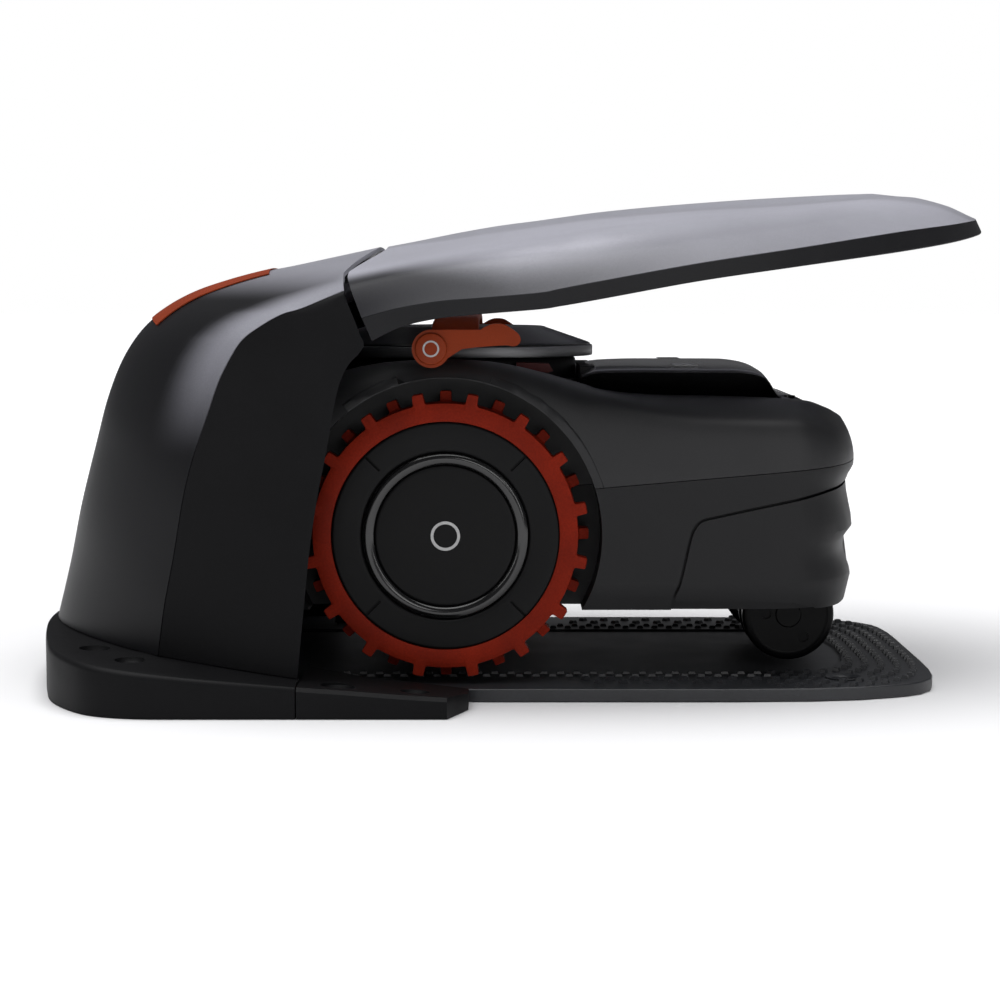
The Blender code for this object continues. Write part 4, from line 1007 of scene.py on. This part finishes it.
def make_deck():
    """The glossy panel on the front of the mower, with its undercut sides, and its plain label."""
    rows = [(.0580, .2610, .112, .0165), (.0700, .2655, .118, .0165), (.0850, .2668, .123, .0165),
            (.1100, .2674, .125, .0165), (.1500, .2674, .126, .0160), (.1830, .2672, .125, .0155),
            (.1980, .2655, .123, .0140), (.2080, .2622, .121, .0120), (.2135, .2565, .119, .0080),
            (.2165, .2515, .117, .0050), (.2205, .2462, .115, .0032), (.2280, .2420, .111, .0024),
            (.2360, .2388, .104, .0018)]
    tables = [[(row[0], row[i]) for row in rows] for i in (1, 2, 3)]
    rings = []
    for step in range(81):
        x = .0580 + .1780 * (step / 80)
        top, wide, rise = (curve(t, x) for t in tables)
        bed = curve(DECK_BED, x) + .0014
        edge = max(top - .0062 * (wide / .126) ** 2, bed + .0014)
        foot = max(edge - rise, bed + .0004)
        half = [(.094, bed), (.098, min(bed + .0022, foot)), (.106, min(bed + .0050, foot + .003)),
                (wide - .004, foot + (edge - foot) * .55), (wide - .0010, edge - .0030),
                (wide, edge - .0012), (wide - .0012, edge),
                (wide - .012, edge + (top - edge) * .22)]
        half += [(wide * f, edge + (top - edge) * g) for f, g in ((.75, .54), (.55, .74), (.25, .94))]
        half.append((.012, top))
        ring = [(x, y, max(z, bed + .0001 * i)) for i, (y, z) in enumerate(half)]
        rings.append(ringed(ring))
    deck = loft("deck_gloss_panel", rings)
    finished(deck, "mower", GLOSS, "deck_panel", 40, .0005)
    # A dark block filling the gap between the turret and the deck: painted shade where that gap shows
    # dark.
    shade_filler = box("deck_shade_filler", (.0568, .0700), (-.085, .085), (.2440, .2640))
    finished(shade_filler, "mower", SOFT_BLACK, None, 40, .0010)
    for side in (1, -1):
        label = []
        for k in range(5):
            x = .1330 + .0048 * k
            label.append([Vector((x + .0030 * m / 4, side * (.0950 + .0070 * m / 4),
                                  .2673 - .0062 * (.18 + .16 * m / 4))) for m in range(5)])
        plate = skin("deck_label_%s" % ("l" if side > 0 else "r"), label, .0004, (.14, 0, .20))
        finished(plate, "mower", LIGHT_GREY)


def make_turret():
    rings = []
    for r, z in ((.0100, None), (.0400, None), (.0750, None), (.1040, None), (.1050, "low"),
                 (.1050, .2680), (.1035, .2700), (.0980, .2705), (.0400, .2705)):
        ring = []
        for k in range(96):
            a = 2 * pi * k / 96
            x = TURRET_X + r * cos(a)
            bed = table(DECK_BED, x) + .0016
            ring.append((x, r * sin(a), bed if z is None else bed + .0008 if z == "low" else z))
        rings.append(ring)
    base = loft("turret_foot", rings)
    finished(base, "mower", SOFT_BLACK, "turret_base", 40)
    cap = [(0, .0260), (.0400, .0257), (.0755, .0250), (.0778, .0246), (.0800, .0237),
           (.1140, .0120), (.1165, .0110), (.1180, .0100), (.1180, .0093), (.1170, .0092),
           (.1080, .0092), (.1080, .0060), (0, .0060)]
    obj = turned("stop_turret_cap", cap, (TURRET_X, 0, .2715), steps=128)
    carve(obj, [turned("ring_groove", [(.0700, .0246), (.0712, .0246), (.0712, .05), (.0700, .05)],
                       (TURRET_X, 0, .2715), steps=128)])
    finished(obj, "stop_button", CAP_BLACK, "stop_cap", 30, .0004)
    band = [(.1200, .0094), (.1197, .0101), (.1190, .0104), (.1090, .0104), (.1090, .0012),
            (.1190, .0012), (.1197, .0015), (.1200, .0022)]
    ring = turned("stop_turret_band", band, (TURRET_X, 0, .2700), steps=128)
    finished(ring, "stop_button", BAND, "stop_band", 40)
    for tag in ("l", "r"):
        kept("status_lamp_" + tag, RED_LENS, .0010)


def make_handle():
    """The carry handle: two arms with round bosses, and the bowed panel over the turret."""
    outline = arm_outline()
    bend = [Vector((x, z, 0)) for x, z in outline[len(outline) - 13:-1]]
    fine = [(p.x, p.y) for p in (spline(bend, k / 44) for k in range(45))]
    x0, z0 = PIVOT
    boss = [(x0 + BOSS * cos(radians(a)), z0 + BOSS * sin(radians(a))) for a in range(95, 331, 5)]
    fine = boss + fine[2:] + [outline[-1]]
    arms = []
    for side in (1, -1):
        y = sorted((side * .1768, side * .1900))
        arms.append(prism("arm", fine, y[0], y[1], "y"))
    half = [(.0500, .3042, .3090, -.0590), (.1200, .3025, .3078, -.0600),
            (.1660, .2995, .3060, -.0620), (.1790, .2925, .3000, -.0640),
            (.1850, .2880, .2945, -.0640)]
    rows = [(-y, *row) for y, *row in reversed(half)] + half
    lows, highs, backs = ([(r[0], r[i]) for r in rows] for i in (1, 2, 3))
    rings = []
    for k in range(75):
        y = -.1850 + .3700 * k / 74
        low, high, back = curve(lows, y), curve(highs, y), curve(backs, y)
        rings.append([(back, y, low), (-.0290, y, low), (-.0268, y, low + .0008),
                      (-.0262, y, low + .0020), (-.0268, y, high - .0012),
                      (-.0285, y, high - .0002), (-.0300, y, high), (back + .002, y, high),
                      (back, y, high - .0016)])
    handle = arms[0]
    carve(handle, [loft("handle_panel", rings), arms[1]], "UNION")
    handle.name = "carry_handle"
    finished(handle, "handle", ORANGE, "handle", 35, .0013, 3)
    for side, tag in SIDES:
        boss = [(0, 0), (.0128, 0), (.0127, .0010), (.0120, .0019), (.0100, .0023), (0, .0024)]
        cap = turned("pivot_cap_" + tag, sided(boss, side), (x0, side * .1904, z0), "y", 64)
        finished(cap, "handle", ORANGE, "handle_cap_" + tag, 40)
        mark = [(.0052, 0), (.0066, 0), (.0066, .0003), (.0052, .0003)]
        mark = turned("pivot_mark_" + tag, sided(mark, side),
                      (x0, side * .19265, z0), "y", 48)
        finished(mark, "handle", LIGHT_GREY)


LUG = [(.1062, .0086, .0190), (.1064, .0090, .0178), (.1068, .0086, .0100),
       (.1070, .0084, .0024), (.1070, .0014, .0010)]  # radius, what the lug adds, distance out


def make_tyre(side, tag):
    """The lugged tyre: raised blocks with sloping flanks, staggered between the two edges."""
    rings = []
    for lug in range(32):
        outer = lug % 2 == 0
        middle = (lug + 1) * 11.25
        for turn, up in ((-5.2, 0), (-3.4, 0), (-2.55, .10), (-2.15, .92), (-1.7, 1), (0, 1),
                         (1.7, 1), (2.15, .92), (2.55, .10), (3.4, 0), (5.2, 0)):
            a = radians(middle + turn)
            near, far = up * outer, up * (not outer)
            profile = [(.0918, -.0190), (.0918, .0190), (.0935, .0198), (.0985, .0200),
                       (.1017, .0200), (.1040, .0196 + .0003 * near)]
            profile += [(r + rise * near, h) for r, rise, h in LUG]
            profile += [(r + rise * far, -h) for r, rise, h in reversed(LUG)]
            profile += [(.1040, -.0196), (.1017, -.0200), (.0985, -.0200), (.0935, -.0198)]
            rings.append([Vector((WHEEL[0] + r * sin(a), side * (TYRE_Y + h),
                                  WHEEL[1] + r * cos(a))) for r, h in profile])
    faces = quads(len(rings[0]), [(k, (k + 1) % len(rings)) for k in range(len(rings))])
    tyre = solid("lugged_tyre_" + tag, [p for ring in rings for p in ring], faces)
    finished(tyre, "wheel_" + tag, TYRE_RED, "tyre_" + tag, 34)


def make_wheel(side, tag):
    body = "wheel_" + tag

    def turn(name, profile, steps=128, middle=(WHEEL[0], side * TYRE_Y, WHEEL[1])):
        return turned(name + tag, sided(profile, side), middle, "y", steps)
    make_tyre(side, tag)
    rim = turn("wheel_drum_", [(0, -.0420), (.0060, -.0420), (.0060, -.0185), (.0300, -.0185),
                               (.0300, -.0120), (.0860, -.0120), (.0880, -.0185), (.0914, -.0185),
                               (.0914, .0120), (0, .0120)])
    finished(rim, body, SOFT_BLACK, "wheel_rim_" + tag, 30, .0006)
    cover = turn("wheel_cover_", [(0, .0125), (.0914, .0125), (.0914, .0176), (.0910, .0188),
                                  (.0900, .0196), (.0885, .0198), (.0800, .0194), (.0720, .0188),
                                  (.0700, .0186), (.0684, .0180), (.0675, .0170), (.0672, .0150),
                                  (.0568, .0150), (.0565, .0168), (.0560, .0176), (.0550, .0180),
                                  (.0535, .0181), (.0300, .0182), (0, .0182)])
    cutters = []
    for k in range(4):
        a = radians(45 + 90 * k)
        slot = box("slot", (.0745, .0925), (-.0008, .0008), (.0164, .03))
        for v in slot.data.vertices:
            x, y, z = v.co
            v.co = (WHEEL[0] + x * sin(a) + y * cos(a), side * (TYRE_Y + z),
                    WHEEL[1] + x * cos(a) - y * sin(a))
        if side < 0:
            slot.data.flip_normals()
        cutters.append(slot)
    carve(cover, cutters)
    finished(cover, body, HUB_BLACK, "hub_cover_" + tag, 30, .0003)
    ring = turn("wheel_gloss_ring_", [(.0571, .0153), (.0669, .0153), (.0669, .0172),
                                      (.0664, .0184), (.0655, .0192), (.0640, .0199),
                                      (.0625, .0202), (.0608, .0200), (.0592, .0195),
                                      (.0580, .0188), (.0573, .0180), (.0571, .0172)])
    finished(ring, body, GLOSS, "hub_ring_" + tag, 50)
    mark = turn("wheel_mark_", [(.0095, .0181), (.0118, .0181), (.0118, .0184), (.0095, .0184)], 96)
    finished(mark, body, LIGHT_GREY)


def make_caster(side, tag):
    y = side * CASTER_Y
    half = [(.0090, .0062), (.0330, .0062), (.0350, .0064), (.0372, .0078), (.0385, .0100),
            (.0385, .0160), (.0378, .0178), (.0366, .0190), (.0350, .0197), (.0335, .0200),
            (.0322, .0192), (.0310, .0190), (.0110, .0190), (.0100, .0200), (0, .0200)]
    profile = half + [(r, -h) for r, h in reversed(half)]
    wheel = turned("caster_discs_" + tag, profile, (AXLE[0], y, AXLE[1]), "y", 72)
    cutters = []
    for face in (1, -1):
        for dx, dz in ((-.0185, .0005), (.0130, -.0190), (.0055, .0180)):
            depth = y + face * .0168
            low = min(depth, depth + face * .004)
            cutters.append(cylinder("cup", (AXLE[0] + dx, low, AXLE[1] + dz),
                                    .0042, .004, "y", 24))
    carve(wheel, cutters)
    finished(wheel, "caster_roller_" + tag, RUBBER, "caster_wheel_" + tag, 35, .0003)
    kept("caster_fork_" + tag, SOFT_BLACK, .0008)


def make_cutting():
    """The motor, the disc and the blades, seen from below."""
    motor = [(0, 0), (.0230, 0), (.0240, .0010), (.0262, .0010), (.0270, .0020), (.0270, .0740),
             (.0262, .0750), (.0120, .0750), (.0120, .0760), (0, .0760)]
    obj = turned("blade_motor_can", motor, (MOTOR_X, 0, .0640), steps=72)
    finished(obj, "carriage", MOTOR, "blade_motor", 35)
    kept("height_carriage", SOFT_BLACK, .0005)
    disc = [(0, 0), (.0080, 0), (.0090, .0004), (.0200, .0004), (.0220, 0), (.0560, 0),
            (.0640, .0002), (.0680, .0008), (.0700, .0018), (.0700, .0036), (.0690, .0036),
            (.0250, .0036), (.0190, .0084), (.0180, .0090), (.0050, .0090), (.0050, .0136),
            (0, .0136)]
    obj = turned("cutting_disc", disc, (MOTOR_X, 0, .0500), steps=120)
    cutters = []
    for k in range(3):
        a = radians(90 + 120 * k)
        cutters.append(cylinder("way", (MOTOR_X + .06 * cos(a), .06 * sin(a), .04), .0026, .03,
                                steps=24))
        b = radians(30 + 120 * k)
        cutters.append(cylinder("hole", (MOTOR_X + .042 * cos(b), .042 * sin(b), .04), .0060, .03,
                                steps=32))
    carve(obj, cutters)
    finished(obj, "disc", MOTOR, "blade_disc", 35)
    for k in range(3):
        kept("blade_%d" % (k + 1), STEEL, .0002)


def make_insides():
    for node, material in (("chassis", SOFT_BLACK), ("battery", BATTERY),
                           ("board_mount", SOFT_BLACK), ("drive_motor_l", MOTOR),
                           ("drive_motor_r", MOTOR)):
        kept(node, material, .0010)
    kept("control_board", BOARD, .0002)
    for tag in ("l", "r"):
        kept("charge_plate_" + tag, BRASS, .0004)


make_garage()
make_skirt()
for hand, letter in SIDES:
    make_foot(hand, letter)
make_base()
make_dock()
make_lid()
make_casings()
for hand, letter in SIDES:
    make_fender_band(hand, letter)
    make_wheel(hand, letter)
    make_caster(hand, letter)
make_deck()
make_turret()
make_handle()
make_cutting()
make_insides()


# ---------------------------------------------------------------- floor, light and camera

def make_floor():
    """A plain pale floor."""
    mesh = bpy.data.meshes.new("studio_floor")
    corners = ((-30, -30), (30, -30), (30, 30), (-30, 30))
    mesh.from_pydata([(x, y, -.0004) for x, y in corners], [], [(0, 1, 2, 3)])
    floor = added("studio_floor", mesh)
    made, tree, bsdf, coords = shader("studio_floor")
    bsdf.inputs["Base Color"].default_value = (.80, .80, .81, 1)
    bsdf.inputs["Roughness"].default_value = .9
    bsdf.inputs["Specular IOR Level"].default_value = .1
    reach = tree.nodes.new("ShaderNodeVectorMath")
    reach.operation = "LENGTH"
    tree.links.new(coords.outputs["Object"], reach.inputs[0])
    tree.links.new(between(tree, reach.outputs["Value"], 0.0, .35, .5, 1.6),
                   bsdf.inputs["Emission Strength"])
    bsdf.inputs["Emission Color"].default_value = (1, 1, 1, 1)
    mesh.materials.append(made)


def area_light(name, place, target, size, power):
    light = bpy.data.lights.new(name, "AREA")
    light.shape = "RECTANGLE"
    light.size, light.size_y, light.energy = *size, power
    lamp = bpy.data.objects.new(name, light)
    lamp.location = place
    lamp.rotation_euler = (Vector(target) - Vector(place)).to_track_quat("-Z", "Y").to_euler()
    bpy.context.scene.collection.objects.link(lamp)


def make_world():
    world = bpy.data.worlds.new("studio")
    bpy.context.scene.world = world
    world.use_nodes = True
    tree = world.node_tree
    back = tree.nodes["Background"]
    path = tree.nodes.new("ShaderNodeLightPath")
    pick = tree.nodes.new("ShaderNodeMix")
    pick.data_type = "RGBA"
    pick.inputs[6].default_value = (.11, .11, .115, 1)
    pick.inputs[7].default_value = (1, 1, 1, 1)
    tree.links.new(path.outputs["Is Camera Ray"], pick.inputs["Factor"])
    tree.links.new(pick.outputs[2], back.inputs["Color"])
    back.inputs["Strength"].default_value = 1.0


def make_camera():
    data = bpy.data.cameras.new("camera")
    data.lens, data.sensor_width = 85, 36
    camera = bpy.data.objects.new("camera", data)
    camera.location = (-.01395, -2.07, .3274)
    camera.rotation_euler = (radians(84.917), 0, 0)
    bpy.context.scene.collection.objects.link(camera)
    bpy.context.scene.camera = camera


make_floor()
make_world()
make_camera()
sun = bpy.data.lights.new("soft_sun", "SUN")
sun.energy, sun.angle = 2.9, radians(70)
sun_lamp = bpy.data.objects.new("soft_sun", sun)
sun_lamp.rotation_euler = (radians(4), radians(-6), 0)
bpy.context.scene.collection.objects.link(sun_lamp)
area_light("top_softbox", (.05, -.10, 1.7), (0, 0, .1), (1.5, .8), 9)
area_light("front_low_fill", (.5, -2.4, .8), (0, 0, .15), (.9, .5), 4)
area_light("left_glint", (-1.4, -1.5, .7), (-.1, 0, .15), (.16, .9), 2.5)
area_light("right_glint", (1.2, -1.7, .7), (0, 0, .15), (.16, .9), 2.5)
bpy.context.scene.view_settings.view_transform = "Standard"
